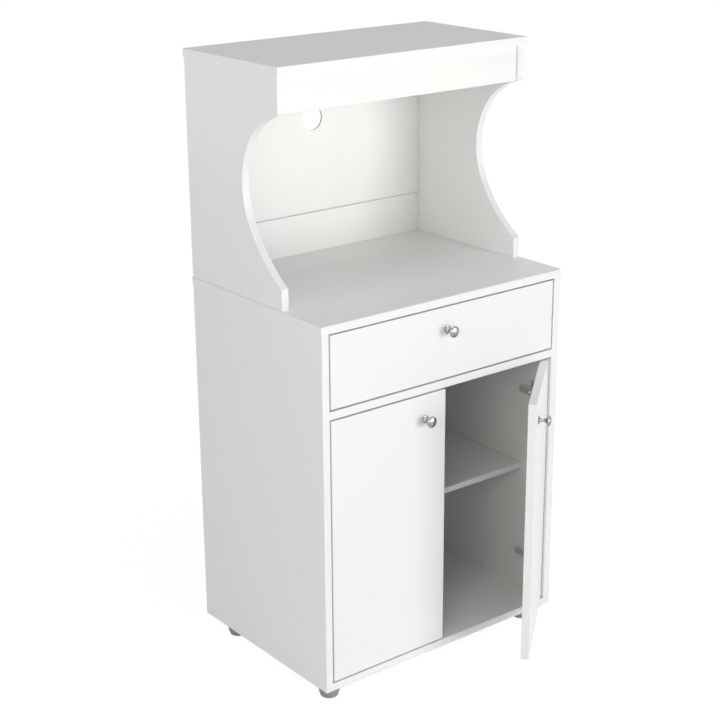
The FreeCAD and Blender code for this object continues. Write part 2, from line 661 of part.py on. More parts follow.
hutchTop = Board("hutch_top",
                 (f"(-{half} - dims.sideOverhang)", f"({hutchFront} - dims.topOverhang)",
                  hutchTopUnder),
                 ("(dims.width + 2 * dims.sideOverhang)",
                  "(dims.hutchDepth + dims.topOverhang - dims.backBoard)", "dims.board"))
header = Board("hutch_header",
               (f"-{inner}", f"({hutchFront} + dims.headerSetback)",
                f"({hutchTopUnder} - dims.headerHeight)"),
               (f"(2 * {inner})", "dims.board", "dims.headerHeight"))

backHalf = f"({half} - dims.backInset)"
backBottom = f"({slabUnder} + dims.backInset)"
backTop = f"({hutchTopUnder} + dims.board - dims.backInset)"
counterMid = f"({counterUnder} + dims.board / 2)"
seamZ = f"({counterTop} + dims.seamHeight)"
upperLow = f"({seamZ} + dims.seamGap)"
backs = []
for name, low, high in (("cabinet_back", backBottom, f"({counterMid} - dims.backSeam)"),
                        ("lower_hutch_back", counterMid, seamZ),
                        ("upper_hutch_back", upperLow, backTop)):
    backs.append(Board(name, (f"-{backHalf}", rear, low),
                       (f"(2 * {backHalf})", "dims.backBoard", f"({high} - {low})")))
cabinetBack, lowerBack, upperBack = backs
upperBack.drill("+y", ("0", "0", f"({counterTop} + dims.cableHoleHeight)"), "dims.cableHole",
                "dims.backBoard")

# ---------------------------------------------------------------- carcass joints
baseRows = [f"({rear} - dims.camInset)", f"({front} + dims.camInset)"]
baseDowelRows = [f"({baseRows[0]} - dims.dowelStep)", f"({baseRows[1]} + dims.dowelStep)"]
hutchRows = [f"({rear} - dims.camInset)", f"({headerBack} + dims.camInset)"]
hutchDowelRows = [f"({hutchRows[0]} - dims.dowelStep)", f"({hutchRows[1]} + dims.dowelStep)"]
footDowelRows = [f"({rear} - dims.hutchDowelRear)", f"({hutchFront} + dims.hutchDowelFront)"]
dividerMid = f"({dividerUnder} + dims.board / 2)"
headerMid = f"({headerBack} - dims.board / 2)"
headerRow = f"({hutchTopUnder} - dims.headerHeight / 2)"

for side in (-1, 1):
    inward = "-x" if side > 0 else "+x"
    mid = across(side, middle)
    face = across(side, inner)
    panel = sidePanels[side]
    upright = hutchSides[side]
    for row in baseRows:
        camJoint(countertop, panel, (mid, row, counterUnder), "-z", inward)
        camJoint(panel, divider, (face, row, dividerMid), inward, "-z")
    for row in baseDowelRows:
        dowelJoint(countertop, panel, (mid, row, counterUnder), "-z")
        dowelJoint(panel, divider, (face, row, dividerMid), inward)
    for row in hutchRows:
        camJoint(hutchTop, upright, (mid, row, hutchTopUnder), "-z", inward)
    for row in hutchDowelRows:
        dowelJoint(hutchTop, upright, (mid, row, hutchTopUnder), "-z")
    for row in footDowelRows:
        dowelJoint(countertop, upright, (mid, row, counterTop), "+z")
    camJoint(upright, header, (face, headerMid, headerRow), inward, "+y")
    dowelJoint(upright, header, (face, headerMid, f"({headerRow} - dims.headerDowelDrop)"), inward)
    for row in (f"({rear} - dims.confirmatInset)", f"({front} + dims.confirmatInset)"):
        spot = (mid, row, slabUnder)
        bottomPanel.drill("-z", spot, "dims.confirmatHead + 4 * dims.fitGap",
                          "dims.confirmatHeadHeight")
        bottomPanel.drill("-z", spot, "dims.confirmatCollar + 2 * dims.fitGap", "dims.board")
        panel.drill("-z", spot, "dims.confirmatDiameter", "dims.confirmatReach + dims.holeSpare")
        confirmats.append((spot, turnTo("+z")))

# Nails hold the backs to the rear edges of the boards.
for side in (-1, 1):
    mid = across(side, middle)
    for z in spread(f"({slabTop} + dims.nailInset)", f"({counterUnder} - dims.nailInset)", 3):
        nailDown(cabinetBack, sidePanels[side], mid, z)
    for z in spread(f"({seamZ} + dims.nailInset)", f"({hutchTopUnder} - dims.nailInset)", 2):
        nailDown(upperBack, hutchSides[side], mid, z)
    nailDown(lowerBack, hutchSides[side], mid, f"({counterTop} + dims.seamHeight / 2)")
for x in spread(f"-{half} / 2", f"{half} / 2", 2):
    nailDown(cabinetBack, bottomPanel, x, f"({slabUnder} + dims.board / 2)")
    nailDown(cabinetBack, divider, x, dividerMid)
    nailDown(upperBack, hutchTop, x, f"({hutchTopUnder} + dims.board / 2)")
    nailDown(lowerBack, countertop, x, f"({counterTop} - dims.board / 4)")

# ---------------------------------------------------------------- shelf pins
pinSpots = []
for side in (-1, 1):
    inward = "-x" if side > 0 else "+x"
    for row in (f"({front} + dims.shelfSetback + dims.pinInset)", f"({rear} - dims.pinInset)"):
        spot = (across(side, inner), row,
                "(dims.footHeight + dims.shelfHeight - dims.shelfBoard - dims.pinDiameter / 2)")
        sidePanels[side].drill(inward, spot, "dims.pinDiameter", "dims.pinReach + dims.holeSpare")
        pinSpots.append((spot, turnTo(inward)))

# ---------------------------------------------------------------- feet
footX = {-1: f"(-{half} + dims.leftFootInset)", 1: f"({half} - dims.rightFootInset)"}
footY = {"front": f"({front} + dims.frontFootInset)", "rear": "(-dims.rearFootInset)"}


def makeFoot(label, x, y):
    """Tapered glide with a recess underneath for the screw that holds it."""
    body = newBody(label)
    top = "dims.footTop / 2"
    floor = "dims.footBottom / 2"
    recess = "(dims.screwHead / 2 + dims.footRoom)"
    hole = "(dims.screwDiameter / 2 + dims.fitGap)"
    seat = "(dims.footHeight - dims.footSeat)"
    revolve(body, [(hole, seat), (recess, seat), (recess, "0"), (f"{floor} - dims.footBevel", "0"),
                   (floor, "dims.footBevel"), (top, "dims.footHeight - dims.footBevel"),
                   (top, "dims.footHeight"), (hole, "dims.footHeight")])
    place(body, cabinet, (x, y, "0"))
    nodes.append(body)
    spot = (x, y, seat)
    bottomPanel.drill("-z", spot, "dims.screwDiameter",
                      "dims.screwReach - dims.footSeat + dims.holeSpare")
    screws.append((spot, turnTo("+z")))


for end in ("front", "rear"):
    for side, name in ((-1, "left"), (1, "right")):
        makeFoot(f"{end}_{name}_foot", footX[side], footY[end])

# ---------------------------------------------------------------- drawer slides
# Distances u run from a side panel's inner face towards the middle.
webU = "(dims.slideGap - dims.slideSteel)"
railHigh = "(dims.rearRoller + 2 * dims.slideSteel + dims.rollerPlay)"
lipZ = f"({railHigh} + dims.lipLift)"
rollerU = "(dims.railFlange - dims.rollerWidth - dims.rollerSetback)"
rearRollerU = f"({rollerU} + dims.rollerOffset)"
railFront = f"({frontInner} + dims.slideSetback)"
frontAxleZ = f"({lipZ} - dims.frontRoller / 2 - dims.runningGap)"
rearAxleZ = "(dims.slideSteel + dims.rearRoller / 2 + dims.runningGap)"
rearAxleY = f"({frontInner} + dims.slideLength - dims.rollerInset)"
railScrewRows = ["dims.railScrewFront", "(dims.slideLength - dims.railScrewRear)"]
screwHole = "(dims.screwDiameter + 2 * dims.screwRoom)"

# A rear roller meets a stop's round top when their centres are the two radii apart, which
# sets how far ahead of or behind the roller's last place the stop stands.
stopCurve = "(((dims.stopLength / 2) ^ 2 + dims.stopRise ^ 2) / (2 * dims.stopRise))"
stopReach = (f"(sqrt((dims.rearRoller / 2 + {stopCurve}) ^ 2 - (dims.rearRoller / 2"
             f" + dims.runningGap + {stopCurve} - dims.stopRise) ^ 2) + dims.stopGap)")
restRow = f"({rearAxleY} - {railFront})"
stopRows = [f"({restRow} - dims.slideTravel - {stopReach})", f"({restRow} + {stopReach})"]


def makeRail(side, name):
    """Cabinet member: a channel with its flanges cut back round the front roller's axle, and
    two stops in its lower flange that end the rear roller's travel."""
    body = newBody(f"{name}_slide_rail")
    steel = "dims.slideSteel"
    wide = "dims.railFlange"

    def u(distance):
        return across(-side, distance)

    section = newSketch(body, "y")
    outline(section, [("0", "0"), (u(wide), "0"), (u(wide), steel), (u(steel), steel),
                      (u(steel), f"{railHigh} - {steel}"), (u(wide), f"{railHigh} - {steel}"),
                      (u(wide), railHigh), ("0", railHigh)])
    extrude(section, "y", "dims.slideLength", 1)
    notch = newSketch(body, "z", railHigh)
    rectangle(notch, u(steel), "0", u("dims.railFlange"), "(2 * dims.rollerInset)")
    extrude(notch, "z", railHigh, -1, cut=True)
    stops = newSketch(body, "x")
    for row in stopRows:
        outline(stops, [(f"({row} + dims.stopLength / 2)", steel, stopCurve, 1),
                        (f"({row} - dims.stopLength / 2)", steel)])
    extrude(stops, "x", wide, -side)
    rivetU = f"({rollerU} + dims.rollerWidth + dims.rivetGap)"
    axle = newSketch(body, "x")
    circle(axle, "dims.rollerInset", frontAxleZ, "dims.axleDiameter")
    extrude(axle, "x", f"({rivetU} + dims.rivetHead / 2)", -side)
    rivet = newSketch(body, "x", u(rivetU))
    circle(rivet, "dims.rollerInset", frontAxleZ, "dims.rivetDiameter")
    extrude(rivet, "x", "dims.rivetHead", -side)
    holes = newSketch(body, "x")
    for row in railScrewRows:
        circle(holes, row, f"{railHigh} / 2", screwHole)
    extrude(holes, "x", steel, -side, cut=True)
    place(body, cabinet, (across(side, inner), railFront, railUnder))
    nodes.append(body)
    inward = "-x" if side > 0 else "+x"
    for row in railScrewRows:
        spot = (across(side, f"({inner} - {steel})"), f"({railFront} + {row})",
                f"({railUnder} + {railHigh} / 2)")
        sidePanels[side].drill(inward, spot, "dims.screwDiameter",
                               "dims.screwReach + dims.holeSpare")
        screws.append((spot, turnTo(opposite(inward))))


def makeRunner(side, name):
    """Drawer member: foot under the drawer side, web up its face, lip over the front roller."""
    body = newBody(f"{name}_drawer_runner")
    steel = "dims.slideSteel"
    foot = "(dims.slideGap + dims.drawerBoard - dims.runnerSetback)"
    low = "(dims.drawerSideLift - dims.slideSteel)"
    lipTop = f"({lipZ} + dims.slideSteel)"
    lipU = "dims.lipEdge"

    def u(distance):
        return across(-side, distance)

    section = newSketch(body, "y")
    outline(section, [(u(foot), low), (u(foot), "dims.drawerSideLift"),
                      (u("dims.slideGap"), "dims.drawerSideLift"), (u("dims.slideGap"), lipTop),
                      (u(lipU), lipTop), (u(lipU), lipZ), (u(webU), lipZ), (u(webU), low)])
    extrude(section, "y", "dims.slideLength", 1)
    axleY = "(dims.slideLength - dims.rollerInset)"
    axle = newSketch(body, "x", u("dims.slideGap"))
    circle(axle, axleY, rearAxleZ, "dims.axleDiameter")
    rivetU = f"({rearRollerU} - dims.rivetGap)"
    extrude(axle, "x", f"(dims.slideGap - {rivetU} + dims.rivetHead / 2)", side)
    rivet = newSketch(body, "x", u(rivetU))
    circle(rivet, axleY, rearAxleZ, "dims.rivetDiameter")
    extrude(rivet, "x", "dims.rivetHead", side)
    holes = newSketch(body, "z", low)
    for row in railScrewRows:
        circle(holes, u("(dims.slideGap + dims.drawerBoard / 2)"), row, screwHole)
    extrude(holes, "z", steel, 1, cut=True)
    place(body, cabinet, (across(side, inner), frontInner, railUnder))
    nodes.append(body)


def makeRoller(label, side, diameter, x, y, z):
    """Plastic roller on a rivet, its bore along X."""
    body = newBody(label)
    rim = f"{diameter} / 2"
    bore = "(dims.axleDiameter / 2 + dims.runningGap)"
    wide = "dims.rollerWidth"
    sketch = newSketch(body, "z")
    bevel = "dims.rollerBevel"
    outline(sketch, [("0", bore), (wide, bore), (wide, f"{rim} - {bevel}"),
                     (f"{wide} - {bevel}", rim), (bevel, rim), ("0", f"{rim} - {bevel}")])
    feature = body.newObject("PartDesign::Revolution", "Revolve")
    feature.Profile = sketch
    feature.ReferenceAxis = (sketch, ["H_Axis"])
    feature.Angle = 360
    body.Tip = feature
    low = f"({inner} - {x} - {wide})" if side > 0 else f"(-{inner} + {x})"
    place(body, cabinet, (low, y, z))
    nodes.append(body)


for side, name in ((-1, "left"), (1, "right")):
    makeRail(side, name)
    makeRunner(side, name)
    makeRoller(f"{name}_front_roller", side, "dims.frontRoller", rollerU,
               f"({railFront} + dims.rollerInset)", f"({railUnder} + {frontAxleZ})")
    makeRoller(f"{name}_rear_roller", side, "dims.rearRoller", rearRollerU, rearAxleY,
               f"({railUnder} + {rearAxleZ})")

# ---------------------------------------------------------------- drawer
boxHalf = f"({inner} - dims.slideGap)"
boxInner = f"({boxHalf} - dims.drawerBoard)"
boxUnder = f"({railUnder} + dims.drawerSideLift)"
boxRear = f"({frontInner} + dims.slideLength)"
bottomUnder = f"({boxUnder} + dims.bottomRise)"

drawerFront = Board("drawer_front",
                    (f"(-{inner} + dims.frontGap)", front, f"({dividerTop} + dims.frontGap)"),
                    (f"(2 * ({inner} - dims.frontGap))", "dims.board",
                     f"({counterUnder} - {dividerTop} - 2 * dims.frontGap)"))
drawerSides = {}
for side, name in ((-1, "left"), (1, "right")):
    lowX = f"-{boxHalf}" if side < 0 else boxInner
    drawerSides[side] = Board(f"{name}_drawer_side", (lowX, frontInner, boxUnder),
                              ("dims.drawerBoard", "dims.slideLength", "dims.drawerSideHeight"))
backLow = f"({bottomUnder} + dims.drawerBottom + dims.grooveGap)"
drawerBack = Board("drawer_back", (f"-{boxInner}", f"({boxRear} - dims.drawerBoard)", backLow),
                   (f"(2 * {boxInner})", "dims.drawerBoard",
                    f"({boxUnder} + dims.drawerSideHeight - {backLow})"))
sheetLap = "(dims.grooveDepth - dims.sheetGap)"
sheetHalf = f"({boxInner} + {sheetLap})"
drawerBottom = Board("drawer_bottom",
                     (f"-{sheetHalf}", f"({frontInner} - {sheetLap})", bottomUnder),
                     (f"(2 * {sheetHalf})", f"(dims.slideLength + {sheetLap})",
                      "dims.drawerBottom"))
grooveHigh = "(dims.drawerBottom + 2 * dims.grooveGap)"
grooveLow = f"({bottomUnder} - dims.grooveGap)"
runnerScrewReach = "(dims.bottomRise - dims.runnerScrewStop)"
for side in (-1, 1):
    drawerSides[side].groove("-x" if side > 0 else "+x", ("0", frontInner, grooveLow),
                             ("dims.slideLength", grooveHigh), "dims.grooveDepth")
drawerFront.groove("+y", (f"(-{boxInner} - dims.grooveDepth)", "0", grooveLow),
                   (f"(2 * ({boxInner} + dims.grooveDepth))", grooveHigh), "dims.grooveDepth")

for side in (-1, 1):
    inward = "-x" if side > 0 else "+x"
    outward = opposite(inward)
    mid = across(side, f"({boxHalf} - dims.drawerBoard / 2)")
    for rise in ("(dims.bottomRise + dims.lowCamRise)",
                 "(dims.drawerSideHeight - dims.highCamDrop)"):
        camJoint(drawerFront, drawerSides[side], (mid, frontInner, f"({boxUnder} + {rise})"),
                 "+y", inward, drawerBolts, drawerDiscs, "dims.drawerBoard")
        spot = (across(side, boxHalf), f"({boxRear} - dims.drawerBoard / 2)",
                f"({boxUnder} + {rise})")
        drawerSides[side].drill(outward, spot, "dims.screwHead + 4 * dims.fitGap",
                                "dims.screwHeadHeight")
        drawerSides[side].drill(outward, spot, "dims.screwDiameter + 2 * dims.fitGap",
                                "dims.drawerBoard")
        drawerBack.drill(outward, spot, "dims.screwDiameter",
                         "dims.longScrewReach + dims.holeSpare")
        drawerScrews.append((spot, turnTo(inward)))
    for row in railScrewRows:
        spot = (mid, f"({frontInner} + {row})", f"({boxUnder} - dims.slideSteel)")
        drawerSides[side].drill("-z", spot, "dims.screwDiameter", runnerScrewReach)

# ---------------------------------------------------------------- knobs
knobScrew = newBody("knobScrewMaster")
threadRadius = "(dims.knobThread / 2 - dims.runningGap)"
knobScrewHead = "dims.knobScrewHead / 2"
knobScrewTop = "-dims.knobScrewHeight"
revolve(knobScrew, [("0", knobScrewTop), (f"{knobScrewHead} - dims.headRound", knobScrewTop),
                    (knobScrewHead, f"{knobScrewTop} + dims.headRound"), (knobScrewHead, "0"),
                    (threadRadius, "0"),
                    (threadRadius, "dims.board + dims.knobThreadReach - dims.turnedEdge"),
                    ("0", "dims.board + dims.knobThreadReach")])


def makeKnob(label, board, spot, frame):
    """Turned metal knob on a board's front face, with its screw from behind.
    The profile is (radius, -distance from the face), turned about the body's Y axis. The rim
    is an arc with the rim's height as its radius, so it bulges by 1 - cos 30 of that height;
    the crown's arc is level at the axis."""
    body = newBody(label)
    base, neck = "dims.knobBase / 2", "dims.knobNeck / 2"
    head = "(dims.knobHead / 2 - dims.knobRim * (1 - cos(30)))"
    crown = f"(({head} ^ 2 + dims.knobCrown ^ 2) / (2 * dims.knobCrown))"
    thread = "dims.knobThread / 2"
    threadEnd = "-(dims.knobThreadReach + dims.holeSpare)"
    crownLow = "(dims.knobReach - dims.knobCrown)"
    rimLow = f"({crownLow} - dims.knobRim)"
    sketch = newSketch(body, "z")
    outline(sketch, [(thread, "0"), (thread, threadEnd), ("0", threadEnd),
                     ("0", "-dims.knobReach", crown, 1), (head, f"-{crownLow}", "dims.knobRim", 1),
                     (head, f"-{rimLow}"), (neck, f"-({rimLow} - dims.knobShoulder)"),
                     (neck, "-(dims.knobRosette + dims.knobFlare)", "dims.flareCurve", -1),
                     (base, "-dims.knobRosette"), (base, "0")])
    feature = body.newObject("PartDesign::Revolution", "Revolve")
    feature.Profile = sketch
    feature.ReferenceAxis = (sketch, ["V_Axis"])
    feature.Angle = 360
    body.Tip = feature
    place(body, frame, spot)
    nodes.append(body)
    board.drill("-y", spot, "dims.knobThread + 0.4", "dims.board")
    fittings(f"{label}_screw", knobScrew, [(offset(spot, "+y", "dims.board"), turnTo("-y"))],
             frame)


makeKnob("drawer_knob", drawerFront, ("0", front, f"({counterUnder} - dims.drawerKnobDrop)"),
         cabinet)

# ---------------------------------------------------------------- doors and hinges
# In a door's frame the hinge pin is the origin: p runs from it towards the free edge
# (x = -side * p) and q from the front towards the inside (y = q).
doorEdge = "(dims.pivotInset - dims.frontGap)"
doorBack = "(dims.board - dims.pivotDepth)"
cupCentre = f"(dims.cupEdge + dims.cupDiameter / 2 - {doorEdge})"
slotWidth = "(dims.armWidth + 2 * dims.armRoom)"
knuckle = "(dims.hingePin + 2 * dims.knuckleWall)"
hingeHeights = {"lower": f"({doorBottom} + dims.hingeInset)",
                "upper": f"({doorTop} - dims.hingeInset)"}
cupScrewP = f"({cupCentre} + dims.cupScrewOffset)"
hingePinSpots, plateMasters, plateSpots, armScrewSpots = [], [], [], []
spineTop = "(dims.pivotInset - dims.armSteel - dims.fitGap)"
plateHalf = "(dims.plateSpacing / 2 + dims.wingMargin)"


def makeCup(side):
    """Hinge cup with its screw flange, and the slot that the arm turns in."""
    body = newBody("cupMaster")

    def x(distance):
        return across(-side, distance)

    bowl = newSketch(body, "y", f"({doorBack} - dims.cupDepth)")
    circle(bowl, x(cupCentre), "0", "dims.cupDiameter - 2 * dims.fitGap")
    extrude(bowl, "y", "dims.cupDepth", 1)
    flange = newSketch(body, "y", doorBack)
    ear = "(dims.cupScrewSpacing / 2 + dims.earMargin)"
    near = f"({cupCentre} + dims.earStart)"
    far = f"({cupScrewP} + dims.earMargin)"
    outline(flange, [(x(near), f"-{ear}"), (x(far), f"-{ear}"), (x(far), ear), (x(near), ear)]
            if side < 0 else
            [(x(far), f"-{ear}"), (x(near), f"-{ear}"), (x(near), ear), (x(far), ear)])
    extrude(flange, "y", "dims.cupFlange", 1)
    rim = newSketch(body, "y", doorBack)
    circle(rim, x(cupCentre), "0", "dims.cupDiameter + 2 * dims.cupRim")
    extrude(rim, "y", "dims.cupFlange", 1)
    slot = newSketch(body, "y", f"({doorBack} + dims.cupFlange)")
    slotNear = f"({knuckle} / 2 + dims.armRoom)"
    slotFar = f"({cupCentre} + dims.cupDiameter / 2 - dims.cupWall)"
    rectangle(slot, f"-{slotNear}" if side < 0 else f"-{slotFar}", f"-{slotWidth} / 2",
              f"({slotNear} + {slotFar})", slotWidth)
    extrude(slot, "y", "(dims.cupDepth + dims.cupFlange - dims.cupFloor)", -1, cut=True)
    bore = newSketch(body, "z", "-(dims.hingePinLength / 2 + 2 * dims.fitGap)")
    circle(bore, "0", "0", "dims.hingePin + 2 * dims.runningGap")
    extrude(bore, "z", "(dims.hingePinLength + 4 * dims.fitGap)", 1, cut=True)
    screwHoles = newSketch(body, "y", doorBack)
    for end in ("-", ""):
        circle(screwHoles, x(cupScrewP), f"{end}dims.cupScrewSpacing / 2", screwHole)
    extrude(screwHoles, "y", "dims.cupFlange", 1, cut=True)
    return body


def makeArm(label, side, z):
    """Cranked arm: knuckle on the pin, crank out of the cup, channel over the plate."""
    body = newBody(label)
    steel = "dims.armSteel"
    crankOut = "(dims.armCrank + dims.armSteel)"
    riseOut = "(dims.armRise + dims.armSteel)"

    def x(distance):
        return across(-side, distance)

    strip = newSketch(body, "z", "-dims.armWidth / 2")
    outline(strip, [("0", f"-{steel} / 2"), (x(crankOut), f"-{steel} / 2"),
                    (x(crankOut), riseOut), ("0", riseOut), ("0", "dims.armLength"),
                    (x(f"(-{steel})"), "dims.armLength"), (x(f"(-{steel})"), "dims.armRise"),
                    (x("dims.armCrank"), "dims.armRise"), (x("dims.armCrank"), f"{steel} / 2"),
                    ("0", f"{steel} / 2")])
    extrude(strip, "z", "dims.armWidth", 1)
    eye = newSketch(body, "z", "-dims.armWidth / 2")
    circle(eye, "0", "0", knuckle)
    extrude(eye, "z", "dims.armWidth", 1)
    bore = newSketch(body, "z", "-dims.armWidth / 2")
    circle(bore, "0", "0", "dims.hingePin")
    extrude(bore, "z", "dims.armWidth", 1, cut=True)
    start = f"({riseOut} + dims.channelStart)"
    deep = x("(-dims.armSteel - dims.channelDepth)")
    for end, direction in (("-", 1), ("", -1)):
        flange = newSketch(body, "z", f"{end}dims.channelWidth / 2")
        outline(flange, [("0", start), ("0", "dims.armLength"), (deep, "dims.armLength"),
                         (deep, f"({start} + dims.channelDepth)"), (x("(-dims.armSteel)"), start)])
        extrude(flange, "z", "(dims.channelWidth - dims.armWidth) / 2", direction)
    hole = newSketch(body, "x")
    circle(hole, "dims.plateCentre", "0", screwHole)
    extrude(hole, "x", steel, side, cut=True)
    place(body, cabinet, (across(side, pivotX), pivotY, z))
    nodes.append(body)


def makePlate(side):
    """Mounting plate: two wings on the side panel and a raised spine inside the arm."""
    body = newBody("plateMaster")

    def x(distance):
        return across(-side, distance)

    wings = newSketch(body, "x")
    rectangle(wings, "(dims.plateCentre - dims.wingMargin)", f"-{plateHalf}",
              "(2 * dims.wingMargin)", f"(2 * {plateHalf})")
    extrude(wings, "x", "dims.plateSteel", -side)
    spine = newSketch(body, "x")
    spineWide = "(dims.armWidth - 2 * dims.spineRoom)"
    rectangle(spine, "(dims.plateCentre - dims.spineAhead)", f"-{spineWide} / 2",
              "dims.spineLength", spineWide)
    extrude(spine, "x", spineTop, -side)
    holes = newSketch(body, "x")
    for end in ("-", ""):
        circle(holes, "dims.plateCentre", f"{end}dims.plateSpacing / 2", screwHole)
    extrude(holes, "x", "dims.plateSteel", -side, cut=True)
    tapped = newSketch(body, "x", x(spineTop))
    circle(tapped, "dims.plateCentre", "0", "dims.screwDiameter")
    extrude(tapped, "x", "(dims.armScrewReach - dims.armSteel)", side, cut=True)
    return body


longScrew = makeScrew("longScrewMaster", "(dims.drawerBoard + dims.longScrewReach)", False)
shortScrew = makeScrew("shortScrewMaster", runnerScrewReach, True)
panScrew = makeScrew("panScrewMaster", "dims.screwReach", True)
armScrew = makeScrew("armScrewMaster", "dims.armScrewReach", True)

for side, name, frame in ((-1, "left", leftDoorFrame), (1, "right", rightDoorFrame)):
    inward = "-x" if side > 0 else "+x"
    lowX = f"(-{doorReach})" if side > 0 else f"(-{doorEdge})"
    door = Board(f"{name}_door", (lowX, "(-dims.pivotDepth)", doorBottom),
                 (f"({doorReach} + {doorEdge})", "dims.board", f"({doorTop} - {doorBottom})"),
                 frame)
    knobP = f"({doorReach} - dims.doorKnobInset)"
    makeKnob(f"{name}_door_knob", door,
             (across(-side, knobP), "(-dims.pivotDepth)", f"({doorTop} - dims.doorKnobDrop)"),
             frame)
    plate = makePlate(side)
    cupSpots, cupScrewSpots = [], []
    for level, z in hingeHeights.items():
        door.drill("+y", (across(-side, cupCentre), "0", z), "dims.cupDiameter",
                   "dims.cupDepth")
        cupSpots.append((("0", "0", z), Rotation()))
        for end in ("-", "+"):
            spot = (across(-side, cupScrewP), f"({doorBack} + dims.cupFlange)",
                    f"({z} {end} dims.cupScrewSpacing / 2)")
            door.drill("+y", spot, "dims.screwDiameter",
                       "dims.screwReach - dims.cupFlange + dims.holeSpare")
            cupScrewSpots.append((spot, turnTo("-y")))
            plateSpot = (across(side, f"({inner} - dims.plateSteel)"),
                         f"({pivotY} + dims.plateCentre)",
                         f"({z} {end} dims.plateSpacing / 2)")
            sidePanels[side].drill(inward, plateSpot, "dims.screwDiameter",
                                   "dims.screwReach - dims.plateSteel + dims.holeSpare")
            screws.append((plateSpot, turnTo(opposite(inward))))
        makeArm(f"{level}_{name}_hinge_arm", side, z)
        hingePinSpots.append(((across(side, pivotX), pivotY, z), Rotation()))
        armScrewSpots.append(((across(side, pivotX), f"({pivotY} + dims.plateCentre)", z),
                              turnTo(opposite(inward))))
        plateMasters.append(plate)
        plateSpots.append(((across(side, inner), pivotY, z), Rotation()))
    fittings(f"{name}_hinge_cups", makeCup(side), cupSpots, frame)
    fittings(f"{name}_cup_screws", panScrew, cupScrewSpots, frame)


runnerScrewSpots = []
for side in (-1, 1):
    mid = across(side, f"({boxHalf} - dims.drawerBoard / 2)")
    for row in railScrewRows:
        runnerScrewSpots.append(((mid, f"({frontInner} + {row})",
                                  f"({boxUnder} - dims.slideSteel)"), turnTo("+z")))

for board in boards:
    board.cutHoles()

camBolt = makeCamBolt()
fittings("cam_bolts", camBolt, camBolts)
fittings("cam_discs", makeCamDisc("camDiscMaster", "dims.board"), camDiscs)
fittings("wood_dowels", makeDowel(), dowels)
fittings("confirmat_screws", makeConfirmat(), confirmats)
fittings("back_nails", makeNail(), nails)
fittings("shelf_pins", makeShelfPin(), pinSpots)
fittings("cabinet_screws", panScrew, screws)
fittings("hinge_pins", makeHingePin(), hingePinSpots)
fittings("hinge_plates", plateMasters, plateSpots)
fittings("hinge_arm_screws", armScrew, armScrewSpots)
fittings("drawer_cam_bolts", camBolt, drawerBolts)
fittings("drawer_cam_discs", makeCamDisc("drawerDiscMaster", "dims.drawerBoard"), drawerDiscs)
fittings("drawer_back_screws", longScrew, drawerScrews)
fittings("runner_screws", shortScrew, runnerScrewSpots)

# ---------------------------------------------------------------- checks and files
doc.recompute()
for item in doc.Objects:
    if {"Invalid", "Error"} & set(item.State):
        raise RuntimeError(f"{item.Label} failed: {item.State} {item.getStatusString()}")
    if item.TypeId == "PartDesign::Pocket":
        if item.BaseFeature.Shape.Volume - item.Shape.Volume < 0.01:
            raise RuntimeError(f"{item.Label} cut nothing away")
for node in nodes:
    shape = node.Shape
    if shape.isNull() or not shape.isValid() or not shape.Solids:
        raise RuntimeError(f"{node.Label} is not a valid solid")
    shape.exportStep(f"parts/{node.Label}.step")
print(len(nodes), "nodes,", sum(len(node.Shape.Solids) for node in nodes), "solids")
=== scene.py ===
import json
import math

import bmesh
import bpy
import numpy as np
from mathutils import Matrix, Vector


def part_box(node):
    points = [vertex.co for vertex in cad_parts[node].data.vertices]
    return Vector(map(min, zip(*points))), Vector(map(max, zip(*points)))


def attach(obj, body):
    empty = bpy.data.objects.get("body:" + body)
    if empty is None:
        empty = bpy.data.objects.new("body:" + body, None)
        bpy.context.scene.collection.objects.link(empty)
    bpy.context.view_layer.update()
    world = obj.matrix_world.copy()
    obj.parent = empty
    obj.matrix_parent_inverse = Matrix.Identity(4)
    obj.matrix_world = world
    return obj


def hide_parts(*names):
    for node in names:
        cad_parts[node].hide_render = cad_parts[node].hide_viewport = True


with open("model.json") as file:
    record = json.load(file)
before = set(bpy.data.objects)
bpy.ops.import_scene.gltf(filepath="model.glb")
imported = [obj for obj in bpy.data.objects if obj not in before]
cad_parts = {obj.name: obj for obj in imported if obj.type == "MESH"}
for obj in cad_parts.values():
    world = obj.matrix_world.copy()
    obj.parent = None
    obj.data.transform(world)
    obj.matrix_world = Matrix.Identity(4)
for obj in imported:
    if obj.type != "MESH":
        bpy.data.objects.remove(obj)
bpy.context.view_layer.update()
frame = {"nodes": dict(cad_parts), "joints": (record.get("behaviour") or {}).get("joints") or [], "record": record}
nodes = frame["nodes"]
slotOf = {part["node"]: part["material_slot"] for part in frame["record"]["subparts"]}
bodyOf = {name: body for body, names in frame["record"]["behaviour"]["bodies"].items()
          for name in names}
print("stage: frame loaded,", len(nodes), "nodes")


# small helpers for node trees

def startMaterial(name, colour, roughness, metallic=0.0):
    material = bpy.data.materials.new(name)
    material.use_nodes = True
    tree = material.node_tree
    shader = tree.nodes["Principled BSDF"]
    shader.inputs["Base Color"].default_value = (*colour, 1)
    shader.inputs["Roughness"].default_value = roughness
    shader.inputs["Metallic"].default_value = metallic
    return material, tree, shader


def addNode(tree, kind, **values):
    node = tree.nodes.new(kind)
    for key, value in values.items():
        if hasattr(node, key):
            setattr(node, key, value)
        else:
            node.inputs[key].default_value = value
    return node


def objectPlace(tree):
    return addNode(tree, "ShaderNodeTexCoord").outputs["Object"]


def noise(tree, place, scale, detail=2.0):
    node = addNode(tree, "ShaderNodeTexNoise", Scale=scale, Detail=detail)
    tree.links.new(place, node.inputs["Vector"])
    return node.outputs["Fac"]


